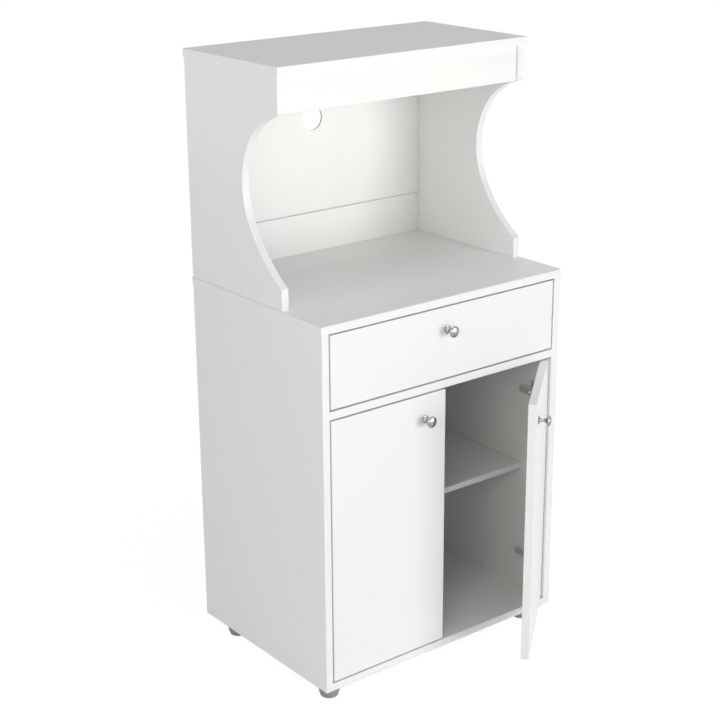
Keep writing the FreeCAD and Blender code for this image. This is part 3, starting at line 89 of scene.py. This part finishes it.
def ranged(tree, value, low, high):
    node = addNode(tree, "ShaderNodeMapRange")
    node.inputs["To Min"].default_value = low
    node.inputs["To Max"].default_value = high
    tree.links.new(value, node.inputs["Value"])
    return node.outputs["Result"]


def blended(tree, factor, colourA, colourB):
    # a Mix node keeps its two colours in inputs 6 and 7, and the mixed one in output 2
    node = addNode(tree, "ShaderNodeMix", data_type="RGBA")
    tree.links.new(factor, node.inputs["Factor"])
    for socket, colour in zip(node.inputs[6:8], (colourA, colourB)):
        if isinstance(colour, tuple):
            socket.default_value = (*colour, 1)
        else:
            tree.links.new(colour, socket)
    return node.outputs[2]


def bump(tree, height, strength, distance, below=None):
    node = addNode(tree, "ShaderNodeBump", Strength=strength, Distance=distance)
    tree.links.new(height, node.inputs["Height"])
    if below:
        tree.links.new(below, node.inputs["Normal"])
    return node.outputs["Normal"]


def worked(tree, operation, first, second):
    # a Math node on a socket and a second socket or a number
    node = addNode(tree, "ShaderNodeMath", operation=operation)
    tree.links.new(first, node.inputs[0])
    if isinstance(second, float):
        node.inputs[1].default_value = second
    else:
        tree.links.new(second, node.inputs[1])
    return node.outputs[0]


def mixToOutput(tree, share, first, second, output):
    mix = addNode(tree, "ShaderNodeMixShader")
    for source, socket in zip((share, first.outputs[0], second.outputs[0]), mix.inputs):
        tree.links.new(source, socket)
    tree.links.new(mix.outputs[0], tree.nodes[output].inputs["Surface"])


squareOn = 0.9                            # cosine above which a face looks along a direction


def facing(tree, direction):
    # 1 where the surface looks along the direction, 0 elsewhere
    along = addNode(tree, "ShaderNodeVectorMath", operation="DOT_PRODUCT")
    along.inputs[1].default_value = direction
    tree.links.new(addNode(tree, "ShaderNodeTexCoord").outputs["Normal"], along.inputs[0])
    return worked(tree, "GREATER_THAN", along.outputs["Value"], squareOn)


foilLook = {
    "colour": (0.870, 0.879, 0.872),      # melamine white, a little cool
    "shade": (0.856, 0.864, 0.858),
    "cloudScale": 5,                      # how the two tones drift over a board
    "roughness": (0.36, 0.46),            # in the pearl's hollows and on its crests
    "reliefStrength": 0.35,
    "pearlScale": 1300,                   # pearl emboss, bumps of about 0.8 mm
    "pearlDepth": 0.00005,
    "waveScale": 14,                      # the faint unevenness of pressed particle board
    "waveDepth": 0.0004,
    "chipDark": (0.36, 0.26, 0.165),      # the core, bare on edges without a band
    "chipLight": (0.62, 0.48, 0.33),
    "chipScale": 420,
    "coreRoughness": (0.41, 0.85),        # foil and core of a board with a bare edge
    "rearEdge": (0, 1, 0),
}


def foilFinish(name, bareRear=False):
    # foil over particle board: two tones in soft clouds, a fine pearl and a slow wave in the
    # relief; on a board with a bare rear edge the chips show where it looks backwards
    look = foilLook
    material, tree, shader = startMaterial(name, look["colour"], sum(look["roughness"]) / 2)
    place = objectPlace(tree)
    cloud = noise(tree, place, look["cloudScale"], detail=3)
    pearl = noise(tree, place, look["pearlScale"], detail=2)
    wave = noise(tree, place, look["waveScale"], detail=1)
    colour = blended(tree, cloud, look["colour"], look["shade"])
    roughness = ranged(tree, pearl, *look["roughness"])
    if bareRear:
        bare = facing(tree, look["rearEdge"])
        chips = addNode(tree, "ShaderNodeTexVoronoi", Scale=look["chipScale"])
        tree.links.new(place, chips.inputs["Vector"])
        core = blended(tree, chips.outputs["Color"], look["chipDark"], look["chipLight"])
        colour = blended(tree, bare, colour, core)
        roughness = ranged(tree, bare, *look["coreRoughness"])
    tree.links.new(colour, shader.inputs["Base Color"])
    tree.links.new(roughness, shader.inputs["Roughness"])
    normal = bump(tree, wave, look["reliefStrength"], look["waveDepth"])
    tree.links.new(bump(tree, pearl, look["reliefStrength"], look["pearlDepth"], normal),
                   shader.inputs["Normal"])
    return material


sheetLook = {
    "lacquer": (0.872, 0.874, 0.862),
    "fibreDark": (0.19, 0.105, 0.052),    # raw side of the hardboard
    "fibreLight": (0.31, 0.19, 0.105),
    "cutEdgeAndSeamShade": (0.30, 0.275, 0.235),      # sawn edges and the rim of the cable hole: bare hardboard greyed towards neutral, partly painted shade so the seam between the back sheets reads as a grey line
    "rawRoughness": 0.8,
    "lacquerRoughness": 0.42,
    "fibreScale": 420,
    "grainScale": 900,
    "grainStrength": 0.3,
    "grainDepth": 0.00006,
}


def sheetFinish(name, whiteSide):
    # white lacquer where the sheet looks along whiteSide, raw pressed fibre where it looks
    # the other way, and sawn edges between them in a greyed tone that is partly painted shade
    look = sheetLook
    material, tree, shader = startMaterial(name, look["lacquer"], look["lacquerRoughness"])
    place = objectPlace(tree)
    white = facing(tree, whiteSide)
    raw = facing(tree, tuple(-part for part in whiteSide))
    fibre = blended(tree, noise(tree, place, look["fibreScale"], detail=6),
                    look["fibreDark"], look["fibreLight"])
    # sawn edges: bare hardboard colour, greyed as partly painted shade for the seam line
    unpainted = blended(tree, raw, look["cutEdgeAndSeamShade"], fibre)
    tree.links.new(blended(tree, white, unpainted, look["lacquer"]),
                   shader.inputs["Base Color"])
    tree.links.new(ranged(tree, white, look["rawRoughness"], look["lacquerRoughness"]),
                   shader.inputs["Roughness"])
    grain = noise(tree, place, look["grainScale"], detail=3)
    tree.links.new(bump(tree, grain, look["grainStrength"], look["grainDepth"]),
                   shader.inputs["Normal"])
    return material


grainSwing = (0.85, 1.15)                 # how far grain takes the roughness down and up
grainStrength = 0.4
cloudSize = 30                            # clouds are this much coarser than the grain


def grainyFinish(name, look):
    # a moulded, coated or plated surface: soft clouds between two tones, fine grain in the
    # roughness and the relief
    colour, shade, roughness = look["colour"], look["shade"], look["roughness"]
    material, tree, shader = startMaterial(name, colour, roughness, look.get("metallic", 0.0))
    place = objectPlace(tree)
    grain = noise(tree, place, look["scale"], detail=3)
    cloud = noise(tree, place, look["scale"] / cloudSize, detail=2)
    tree.links.new(blended(tree, cloud, colour, shade), shader.inputs["Base Color"])
    tree.links.new(ranged(tree, grain, *(roughness * part for part in grainSwing)),
                   shader.inputs["Roughness"])
    tree.links.new(bump(tree, grain, grainStrength, look["depth"]), shader.inputs["Normal"])
    return material


grainyLooks = {
    "foot_plastic": {"colour": (0.29, 0.29, 0.285), "shade": (0.25, 0.25, 0.25),
                     "roughness": 0.45, "scale": 1500, "depth": 0.00008},
    "roller_plastic": {"colour": (0.80, 0.80, 0.77), "shade": (0.76, 0.76, 0.72),
                       "roughness": 0.38, "scale": 900, "depth": 0.00003},
    "slide_steel": {"colour": (0.82, 0.82, 0.81), "shade": (0.79, 0.79, 0.78),
                    "roughness": 0.36, "scale": 700, "depth": 0.00004},
    "hinge_nickel": {"colour": (0.80, 0.80, 0.78), "shade": (0.74, 0.73, 0.71),
                     "roughness": 0.45, "scale": 800, "depth": 0.00001, "metallic": 0.7},
    "beech_wood": {"colour": (0.76, 0.58, 0.38), "shade": (0.64, 0.45, 0.28),
                   "roughness": 0.60, "scale": 700, "depth": 0.0001},
    "zinc_fittings": {"colour": (0.50, 0.52, 0.54), "shade": (0.42, 0.44, 0.46),
                      "roughness": 0.38, "scale": 600, "depth": 0.00002, "metallic": 1.0},
}

knobLook = {
    "metal": (0.40, 0.40, 0.41),
    "shade": (0.33, 0.33, 0.345),
    "roughness": (0.14, 0.26),
    "turningScale": 260,                  # lathe lines, counted along the profile
    "turningStrength": 0.25,
    "turningDepth": 0.00003,
    "cloudScale": 120,
}


def turnedMetal():
    # satin metal with lathe lines: they run round the piece, so they follow V of its UV map
    look = knobLook
    material, tree, shader = startMaterial("knobMetal", look["metal"],
                                           sum(look["roughness"]) / 2, metallic=1.0)
    uv = addNode(tree, "ShaderNodeUVMap", uv_map="turning")
    mapping = addNode(tree, "ShaderNodeMapping", Scale=(0, look["turningScale"], 0))
    tree.links.new(uv.outputs["UV"], mapping.inputs["Vector"])
    line = noise(tree, mapping.outputs["Vector"], 1, detail=3)
    cloud = noise(tree, objectPlace(tree), look["cloudScale"], detail=2)
    tree.links.new(blended(tree, cloud, look["metal"], look["shade"]),
                   shader.inputs["Base Color"])
    tree.links.new(ranged(tree, line, *look["roughness"]), shader.inputs["Roughness"])
    tree.links.new(bump(tree, line, look["turningStrength"], look["turningDepth"]),
                   shader.inputs["Normal"])
    return material


finishes = {slot: grainyFinish(slot, look) for slot, look in grainyLooks.items()}
finishes["knob_metal"] = turnedMetal()
finishes["white_board"] = foilFinish("whiteFoil")
finishes["white_hardboard"] = sheetFinish("whiteHardboard", (0, -1, 0))
bareRearFoil = foilFinish("whiteFoilBareRear", True)
drawerSheet = sheetFinish("drawerSheet", (0, 0, 1))
specialFinish = {name: bareRearFoil for name in (
    "left_side_panel", "right_side_panel", "left_hutch_side", "right_hutch_side", "countertop",
    "hutch_top", "bottom_panel", "drawer_divider", "cupboard_shelf")}
specialFinish["drawer_bottom"] = drawerSheet

for name, node in nodes.items():
    node.data.materials.clear()
    node.data.materials.append(specialFinish.get(name, finishes[slotOf[name]]))
print("stage: finishes on the frame's nodes")


# surfaces worked out as arrays, in metres

weldDistance = 2e-6
sliverLength = 1e-7
tiny = 1e-6


def makePiece(name, grids, node, sharp=35):
    # Each grid (rows, columns, 3) is a surface closed round its columns. Poles and seams are
    # welded, faces turned outwards and edges sharper than the given angle kept crisp. The
    # piece stands for the frame's node, which it hides, and takes the finish of its slot and its body.
    points, faces, uvs, start = [], [], [], 0
    for grid in grids:
        rows, columns = grid.shape[:2]
        row, column = np.meshgrid(np.arange(rows - 1), np.arange(columns), indexing="ij")
        after = (column + 1) % columns
        corners = [row * columns + column, row * columns + after,
                   (row + 1) * columns + after, (row + 1) * columns + column]
        faces.append(np.stack(corners, -1).reshape(-1, 4) + start)
        turns = np.stack([column, column + 1, column + 1, column], -1) / columns
        rises = np.stack([row, row, row + 1, row + 1], -1) / (rows - 1)
        uvs.append(np.stack([turns, rises], -1).reshape(-1, 4, 2))
        points.append(grid.reshape(-1, 3))
        start += rows * columns
    points, faces, uvs = (np.concatenate(part) for part in (points, faces, uvs))
    mesh = bpy.data.meshes.new(name)
    mesh.from_pydata(points.tolist(), [], faces.tolist())
    mesh.uv_layers.new(name="turning").data.foreach_set("uv", uvs.reshape(-1))
    work = bmesh.new()
    work.from_mesh(mesh)
    bmesh.ops.remove_doubles(work, verts=work.verts, dist=weldDistance)
    bmesh.ops.dissolve_degenerate(work, edges=work.edges, dist=sliverLength)
    bmesh.ops.recalc_face_normals(work, faces=work.faces)
    limit = math.radians(sharp)
    for face in work.faces:
        face.smooth = True
    for edge in work.edges:
        edge.smooth = edge.calc_face_angle(0) < limit
    work.to_mesh(mesh)
    work.free()
    mesh.materials.append(finishes[slotOf[node]])
    piece = bpy.data.objects.new(name, mesh)
    bpy.context.scene.collection.objects.link(piece)
    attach(piece, bodyOf[node])
    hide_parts(node)
    return piece


def turned(radius, height, columns, lift=None):
    # a profile carried round Z: x = r cos a, y = r sin a, z = h, and lift(r, a, h) may give
    # another (r, h) for each point
    angle = np.arange(columns) * 2 * np.pi / columns
    r, a = np.meshgrid(radius, angle, indexing="ij")
    h = np.repeat(np.asarray(height, float)[:, None], columns, 1)
    if lift:
        r, h = lift(r, a, h)
    return np.stack([r * np.cos(a), r * np.sin(a), h], -1)


def put(grid, spot, outward, spin=0.0):
    # the grid with its Z turned to outward, spun about it, and moved to spot
    z = Vector(outward).normalized()
    x = Vector((0, 0, 1)).cross(z)
    x = x.normalized() if x.length > tiny else Vector((1, 0, 0))
    turn = np.array(Matrix((x, z.cross(x), z)).transposed() @ Matrix.Rotation(spin, 3, "Z"))
    return grid @ turn.T + np.array(spot)


def curveThrough(knots, count):
    # points of a smooth line through the knots, Catmull-Rom in each stretch
    knots = np.asarray(knots, float)
    padded = np.vstack([2 * knots[0] - knots[1], knots, 2 * knots[-1] - knots[-2]])
    t = np.linspace(0, 1, count, endpoint=False)[:, None]
    parts = []
    for before, first, last, after in zip(padded, padded[1:], padded[2:], padded[3:]):
        parts.append(0.5 * (2 * first + (last - before) * t
                            + (2 * before - 5 * first + 4 * last - after) * t ** 2
                            + (3 * first - before - 3 * last + after) * t ** 3))
    return np.vstack(parts + [knots[-1:]])


knobShape = {                             # (radius, height over the board) in metres
    "start": (0, 0.0001),
    "rosette": [(0.0074, 0.0001), (0.008, 0.0005), (0.008, 0.0016), (0.0068, 0.0022)],
    "rosetteSteps": 5,
    "neckAndHead": [(0.0062, 0.0023), (0.0046, 0.0038), (0.0034, 0.0066), (0.0036, 0.0115),
                    (0.0056, 0.0149), (0.0093, 0.0171), (0.0111, 0.0187), (0.0115, 0.0202),
                    (0.0108, 0.0217), (0.0084, 0.0234), (0.0047, 0.0245), (0.0018, 0.02496),
                    (0, 0.025)],
    "headSteps": 6,
    "columns": 64,
}


def knobGrid():
    # rosette with a bead, hollow neck, swelling underside and a low dome
    s = knobShape
    profile = np.vstack([[s["start"]], curveThrough(s["rosette"], s["rosetteSteps"]),
                         curveThrough(s["neckAndHead"], s["headSteps"])])
    return turned(profile[:, 0], profile[:, 1], s["columns"])


joints = {joint["name"]: joint for joint in frame["joints"]}
leftHinge = Vector(joints["left_door_hinge"]["pos_m"])
rightHinge = Vector(joints["right_door_hinge"]["pos_m"])
standsOpen = math.radians(-joints["right_door_hinge"]["range_deg"][0])


def middle(name):
    low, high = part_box(name)
    return (low + high) / 2


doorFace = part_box("left_door")[0].y
leftKnob = Vector((middle("left_door_knob").x, doorFace, middle("left_door_knob").z))
fromHinge = leftKnob - leftHinge
swing = Matrix.Rotation(standsOpen, 3, "Z")
rightKnob = swing @ Vector((-fromHinge.x, fromHinge.y, 0)) + rightHinge
rightKnob.z = leftKnob.z
drawerKnob = Vector((middle("drawer_knob").x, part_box("drawer_front")[0].y,
                     middle("drawer_knob").z))
ahead = Vector((0, -1, 0))
for name, spot, outward in (("drawer", drawerKnob, ahead), ("left_door", leftKnob, ahead),
                            ("right_door", rightKnob, swing @ ahead)):
    makePiece(f"{name}_turned_knob", [put(knobGrid(), spot, outward)], f"{name}_knob")
print("stage: knobs")


footShape = {
    "taper": 0.003,                       # the ground ring is this much narrower than the rim
    "bore": 0.0018, "wellRadius": 0.0043, "wellChamfer": 0.0008, "seat": 0.0041,
    "ringWidth": 0.0022, "ringRound": 0.0016,    # flat on the floor, then rounded into the side
    "sideTop": 0.0028, "sideRows": (0.08, 0.94, 8), "ribbedFrom": 0.98,
    "rim": 0.0022, "seatGap": 0.0001,
    "ribs": 36, "ribDepth": 0.0003, "ribStart": 0.002, "ribFade": 0.0015,
    "ribStop": 0.0032, "ribEnd": 0.001, "columns": 144,
}


def footGrid(height, top, bottom):
    # a tapered glide: ribbed side, rounded foot ring, flat seat and screw recess
    s = footShape
    seat, upper = height - s["seat"], height - s["seatGap"]
    profile = [(s["bore"], seat), (s["wellRadius"], seat), (s["wellRadius"], s["wellChamfer"]),
               (s["wellRadius"] + s["wellChamfer"], 0.0), (bottom - s["ringWidth"], 0.0),
               (bottom - s["ringRound"] / 2, s["ringRound"] / 4), (bottom, s["ringRound"])]
    sideHeight = height - s["ringRound"] - s["sideTop"]
    side = [(bottom + (top - bottom) * t, s["ringRound"] + sideHeight * t)
            for t in np.linspace(*s["sideRows"])]
    profile += side + [(top, height - s["rim"]), (top, upper), (s["bore"], upper),
                       (s["bore"], seat)]
    radius, level = np.array(profile).T

    def ribbed(r, a, h):
        inside = (np.clip((h - s["ribStart"]) / s["ribFade"], 0, 1)
                  * np.clip((height - s["ribStop"] - h) / s["ribEnd"], 0, 1))
        onSide = (r > bottom * s["ribbedFrom"]) * inside
        return r - s["ribDepth"] * onSide * np.cos(a * s["ribs"]) ** 2, h

    return turned(radius, level, s["columns"], ribbed)


for name in ("front_left_foot", "front_right_foot", "rear_left_foot", "rear_right_foot"):
    low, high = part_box(name)
    top = (high.x - low.x) / 2
    grid = footGrid(high.z - low.z, top, top - footShape["taper"])
    spot = ((low.x + high.x) / 2, (low.y + high.y) / 2, low.z)
    makePiece(f"{name}_glide", [put(grid, spot, (0, 0, 1))], name)
print("stage: feet")


# turned fittings, measured on the frame's own solids

pointDigits = 6                           # decimals of a metre that tell two points apart
outlineDigits = 5


def solidsOf(name):
    # A node's separate solids: every point starts with a number of its own, and the points of
    # a triangle keep taking the lowest number among them until nothing changes.
    mesh = nodes[name].data
    places = np.empty(len(mesh.vertices) * 3)
    mesh.vertices.foreach_get("co", places)
    corners = np.empty(len(mesh.loops), int)
    mesh.loops.foreach_get("vertex_index", corners)
    points, same = np.unique(np.round(places.reshape(-1, 3), pointDigits), axis=0,
                             return_inverse=True)
    corners = same.reshape(-1)[corners].reshape(-1, 3)
    label = np.arange(len(points))
    changed = True
    while changed:
        lowest = label[corners].min(1)
        joined = label.copy()
        for corner in corners.T:
            np.minimum.at(joined, corner, lowest)
        joined = joined[joined]
        changed = (joined != label).any()
        label = joined
    return [points[label == number] for number in np.unique(label[corners])]


def turnedShape(points):
    # Where a turned solid lies: of the three axes of its spread, the turning axis is the one
    # whose spread stands apart, and its head is at the end with the widest ring. The outline
    # is (depth, radius) from the head down, the wider of two radii at one depth first.
    centre = points.mean(0)
    spread, axes = np.linalg.eigh(np.cov((points - centre).T))
    axis = axes[:, 0] if spread[1] - spread[0] > spread[2] - spread[1] else axes[:, 2]
    along = (points - centre) @ axis
    radius = np.linalg.norm(points - centre - np.outer(along, axis), axis=1)
    widest = radius > radius.max() - 10 ** -outlineDigits
    if along[widest].mean() < (along.min() + along.max()) / 2:
        along, axis = -along, -axis
    pairs = np.stack([along.max() - along, -radius], -1)
    pairs = np.unique(np.round(pairs, outlineDigits), axis=0)
    return {"spot": centre + axis * along.max(), "outward": axis,
            "depth": pairs[:, 0], "radius": -pairs[:, 1]}


screwLooks = {                            # from and to: where a thread runs, down from the head
    "panWood": {"drive": "cross", "driveSize": 0.0019, "driveDepth": 0.0013, "columns": 36,
                "from": 0.0026, "pitch": 0.0014, "cut": 0.0004, "starts": 1},
    "flatWood": {"drive": "cross", "driveSize": 0.0019, "driveDepth": 0.0012, "columns": 36,
                 "from": 0.009, "pitch": 0.0015, "cut": 0.0004, "starts": 1},
    "knobScrew": {"drive": "cross", "driveSize": 0.0023, "driveDepth": 0.0015, "columns": 36,
                  "from": 0.003, "to": 0.0264, "pitch": 0.0007, "cut": 0.00035, "starts": 1},
    "confirmat": {"drive": "hex", "driveSize": 0.002, "driveDepth": 0.0026, "columns": 36,
                  "from": 0.0165, "pitch": 0.003, "cut": 0.0006, "starts": 1},
    "camBolt": {"columns": 24,
                "from": 0.026, "to": 0.0368, "pitch": 0.002, "cut": 0.0007, "starts": 1},
    "nail": {"columns": 16,
             "from": 0.0015, "to": 0.006, "pitch": 0.0009, "cut": 0.00012, "starts": 0},
    "dowel": {"columns": 48, "flutes": 16, "fluteDepth": 0.00025},
}
threadSteps = 8                           # rows to each turn of a thread
topRows = 10
topShare = 0.999                          # of the top's radius, which keeps its edge sharp
sideShare = 0.9                           # of the widest radius, where the flutes set in
goldenAngle = 2.39996                     # no two neighbouring screws stop at the same angle
recessShape = {                           # in shares of the drive's size, or of its depth
    "edge": 0.12, "blade": 0.26, "tipDepth": 0.45, "tipRise": 0.88,
    "hexFaces": (30, 90, 150),            # degrees
}


def recess(look, x, y):
    # How far down the driver's recess goes, from 0 to 1. A cross is where the smaller of |x|
    # and |y| lies within half a blade and the larger within its reach; a hex socket is where
    # the largest of the distances along its three face directions lies within its half width.
    size, s = look["driveSize"], recessShape
    edge = size * s["edge"]
    if look["drive"] == "cross":
        near = (size * s["blade"] - np.minimum(abs(x), abs(y))) / edge + 0.5
        reach = size - np.maximum(abs(x), abs(y))
        deep = s["tipDepth"] + s["tipRise"] * reach / size
        return np.clip(near, 0, 1) * np.clip(reach / edge, 0, 1) * np.clip(deep, 0, 1)
    faces = np.radians(s["hexFaces"])[:, None, None]
    across = np.abs(x * np.cos(faces) + y * np.sin(faces)).max(0)
    return np.clip((size - across) / edge, 0, 1)


def fittingGrid(shape, look):
    # The solid's own outline carried round, with the recess sunk into its top. A thread is
    # cut inside the outline: r falls by cut times the distance of h / pitch - a / 2 pi from
    # the nearest crest, so the crest winds once round for each pitch; with no starts the
    # cuts are rings. Flutes are cosine grooves along the side.
    depth, radius = shape["depth"], shape["radius"]
    length, widest = depth[-1], radius.max()
    start, end = look.get("from", length), min(look.get("to", length), length)
    rows = [np.zeros(topRows), depth[depth < start]]
    widths = [np.linspace(0, radius[0], topRows, endpoint=False), radius[depth < start]]
    if end > start:
        cut = np.arange(start, end, look["pitch"] / threadSteps)
        rows.append(cut)
        widths.append(np.interp(cut, depth, radius))
    below = depth >= max(end, start)
    rows += [depth[below], [length]]
    widths += [radius[below], [0.0]]
    rows, widths = np.concatenate(rows), np.concatenate(widths)

    def lift(r, a, h):
        deep = -h
        if "cut" in look:
            phase = deep / look["pitch"] - look["starts"] * a / (2 * np.pi)
            valley = 1 - np.abs(phase % 1 - 0.5) * 2
            run = np.clip((deep - start) / look["pitch"], 0, 1) * (deep < end)
            r = r - look["cut"] * valley * run * np.clip(2 * r / widest, 0, 1)
        if "flutes" in look:
            onSide = np.clip((r / widest - sideShare) / (1 - sideShare), 0, 1)
            r = r - look["fluteDepth"] * onSide * (0.5 + 0.5 * np.cos(look["flutes"] * a))
        if "drive" in look:
            onTop = (deep <= 0) * (r < radius[0] * topShare)
            h = h - look["driveDepth"] * recess(look, r * np.cos(a), r * np.sin(a)) * onTop
        return r, h

    return turned(widths, -rows, look["columns"], lift)


fittings = {
    "cabinet_screws": "panWood", "hinge_arm_screws": "panWood", "runner_screws": "panWood",
    "left_cup_screws": "panWood", "right_cup_screws": "panWood",
    "drawer_back_screws": "flatWood", "confirmat_screws": "confirmat",
    "drawer_knob_screw": "knobScrew", "left_door_knob_screw": "knobScrew",
    "right_door_knob_screw": "knobScrew", "cam_bolts": "camBolt", "drawer_cam_bolts": "camBolt",
    "back_nails": "nail", "wood_dowels": "dowel",
}
for name, kind in fittings.items():
    grids = []
    for number, points in enumerate(solidsOf(name)):
        shape = turnedShape(points)
        grids.append(put(fittingGrid(shape, screwLooks[kind]), shape["spot"], shape["outward"],
                         number * goldenAngle))
    makePiece(f"{name}_cut", grids, name)
print("stage: screws, bolts, nails and dowels")


rollerShape = {
    "boss": 0.0034, "rim": 0.0016, "recess": 0.0012, "slope": 0.0004,
    "treadEdge": (0.0002, 0.0003),        # in from the tread and from the face
    "ribs": 6, "ribLimit": 0.8, "ribSteepness": 12, "columns": 96,
    "ribDrop": 0.2,                       # share of the recess that a rib lies under the face
}


def rollerGrid(shape):
    # a ring: bore, boss, ribbed web sunk below both faces, rim and tread; the ribs are where
    # the cosine of the angle times their number passes a limit
    s = rollerShape
    thick, bore, tread = shape["depth"].max(), shape["radius"].min(), shape["radius"].max()
    corner = shape["radius"][shape["depth"] < tiny].max()
    half = [(bore, 0.0), (s["boss"], 0.0), (s["boss"] + s["slope"], s["recess"]),
            (corner - s["rim"] - s["slope"], s["recess"]), (corner - s["rim"], 0.0),
            (corner, 0.0), (tread - s["treadEdge"][0], s["treadEdge"][1]),
            (tread, tread - corner)]
    radius, deep = np.array(half + [(r, thick - d) for r, d in reversed(half)] + half[:1]).T

    def ribbed(r, a, h):
        inner = np.minimum(-h, thick + h)
        onRib = np.clip((np.cos(a * s["ribs"]) - s["ribLimit"]) * s["ribSteepness"], 0, 1)
        sunk = (inner > s["recess"] / 2) & (r < corner - s["rim"] / 2)
        drop = s["recess"] * s["ribDrop"]
        raised = np.where(-h < thick / 2, -drop, drop - thick)
        return r, np.where(sunk, h + (raised - h) * onRib, h)

    return turned(radius, -deep, s["columns"], ribbed)


for name in ("left_front_roller", "right_front_roller", "left_rear_roller", "right_rear_roller"):
    shape = turnedShape(solidsOf(name)[0])
    makePiece(f"{name}_wheel", [put(rollerGrid(shape), shape["spot"], shape["outward"])], name)
print("stage: rollers")


room = {
    "floorRadius": 4.3,                   # just inside the softboxes
    "floorCorners": 144,
    "floorColour": (0.8, 0.8, 0.8),
    "floorRoughness": 0.9,
    "floorGlow": 0.9,                     # share of plain white that the floor shows
    "floorWhite": 1.06,
    "backgroundWhite": 1.0,
    "ambient": 0.16,                      # strength of the sky that lights the stand
    "softboxColour": (0.99, 1.0, 1.03),
    "softboxWidth": 2.8,
    "softboxDistance": 4.4,               # metres from the point that they aim at
    "aim": (0.0, 0.0, 0.65),
    "softboxes": {                        # degrees round from ahead, degrees up, height, watts
        "keySoftbox": (22, 6, 2.0, 98.0),
        "fillSoftbox": (-20, 6, 2.0, 17.0),
        "leftSoftbox": (-88, 10, 2.0, 38.0),
        "topSoftbox": (0, 80, 2.0, 43.0),
        "rearSoftbox": (190, -1, 1.0, 45.0),
        "rearRightSoftbox": (130, -1, 1.0, 60.0),
    },
    "cornerLamp": {"spot": (-1.3, -1.1, 1.2), "aim": (0.0, 0.0, 0.85), "power": 6.2,
                   "size": (0.7, 0.7), "colour": (1.0, 1.0, 0.86)},
    "hutchLamp": {"spot": (0.85, -1.55, 1.22), "aim": (-0.03, 0.3, 1.04), "power": 8.0,
                  "cone": 19, "blend": 1.0, "radius": 0.16, "colour": (1.0, 0.99, 0.25)},
}


def makeFloor():
    # One flat round face: radius times cosine and sine of equal steps. It takes shadows, and
    # shows mostly plain white to the camera and in a gloss.
    corners = room["floorCorners"]
    turn = np.arange(corners) * 2 * np.pi / corners
    ring = np.stack([np.cos(turn), np.sin(turn), 0 * turn], 1) * room["floorRadius"]
    mesh = bpy.data.meshes.new("floor")
    mesh.from_pydata(ring.tolist(), [], [list(range(corners))])
    material, tree, shader = startMaterial("paleFloor", room["floorColour"],
                                           room["floorRoughness"])
    path = addNode(tree, "ShaderNodeLightPath").outputs
    seen = worked(tree, "MAXIMUM", path["Is Camera Ray"], path["Is Glossy Ray"])
    share = worked(tree, "MULTIPLY", seen, room["floorGlow"])
    glow = addNode(tree, "ShaderNodeEmission", Strength=room["floorWhite"])
    mixToOutput(tree, share, shader, glow, "Material Output")
    mesh.materials.append(material)
    floor = bpy.data.objects.new("floor", mesh)
    bpy.context.scene.collection.objects.link(floor)


def makeWorld():
    # dim light on the object, plain white where the camera, a gloss or a glass looks past it
    world = bpy.data.worlds.new("studio")
    bpy.context.scene.world = world
    world.use_nodes = True
    tree = world.node_tree
    dim = tree.nodes["Background"]
    dim.inputs["Color"].default_value = (1, 1, 1, 1)
    dim.inputs["Strength"].default_value = room["ambient"]
    plain = addNode(tree, "ShaderNodeBackground", Strength=room["backgroundWhite"])
    plain.inputs["Color"].default_value = (1, 1, 1, 1)
    path = addNode(tree, "ShaderNodeLightPath").outputs
    seen = worked(tree, "MAXIMUM", path["Is Camera Ray"], path["Is Glossy Ray"])
    seen = worked(tree, "MAXIMUM", seen, path["Is Transmission Ray"])
    mixToOutput(tree, seen, dim, plain, "World Output")


def placeLamp(name, light, spot, aim):
    lamp = bpy.data.objects.new(name, light)
    lamp.location = spot
    lamp.rotation_euler = (Vector(aim) - Vector(spot)).to_track_quat("-Z", "Y").to_euler()
    bpy.context.scene.collection.objects.link(lamp)


def addArea(name, spot, aim, size, power, colour):
    light = bpy.data.lights.new(name, "AREA")
    light.energy = power
    light.shape = "RECTANGLE"
    light.size, light.size_y = size
    light.color = colour
    placeLamp(name, light, spot, aim)


def addSoftbox(name, azimuth, elevation, height, power):
    azimuth, elevation = math.radians(azimuth), math.radians(elevation)
    away = Vector((math.sin(azimuth) * math.cos(elevation),
                   -math.cos(azimuth) * math.cos(elevation), math.sin(elevation)))
    addArea(name, Vector(room["aim"]) + room["softboxDistance"] * away, room["aim"],
            (room["softboxWidth"], height), power, room["softboxColour"])


def addSpot(name, look):
    light = bpy.data.lights.new(name, "SPOT")
    light.energy = look["power"]
    light.color = look["colour"]
    light.spot_size = math.radians(look["cone"])
    light.spot_blend = look["blend"]
    light.shadow_soft_size = look["radius"]
    placeLamp(name, light, look["spot"], look["aim"])


view = {
    "spot": (-1.92377, -2.31075, 1.64993),
    "heading": -38.08, "pitch": -19.22, "roll": -0.37,   # degrees
    "fieldOfView": 25.37,
    "sensor": 36,                         # millimetres
}


def makeCamera():
    camera = bpy.data.cameras.new("camera")
    camera.sensor_width = view["sensor"]
    camera.lens = view["sensor"] / 2 / math.tan(math.radians(view["fieldOfView"] / 2))
    holder = bpy.data.objects.new("camera", camera)
    turn = (Matrix.Rotation(math.radians(view["heading"]), 4, "Z")
            @ Matrix.Rotation(math.radians(90 + view["pitch"]), 4, "X")
            @ Matrix.Rotation(math.radians(view["roll"]), 4, "Z"))
    holder.matrix_world = Matrix.Translation(view["spot"]) @ turn
    bpy.context.scene.collection.objects.link(holder)
    bpy.context.scene.camera = holder


makeFloor()
makeWorld()
for name, values in room["softboxes"].items():
    addSoftbox(name, *values)
lamp = room["cornerLamp"]
addArea("cornerLamp", lamp["spot"], lamp["aim"], lamp["size"], lamp["power"], lamp["colour"])
addSpot("hutchLamp", room["hutchLamp"])
makeCamera()
bpy.context.scene.view_settings.view_transform = "Standard"
print("stage: room, light and camera")
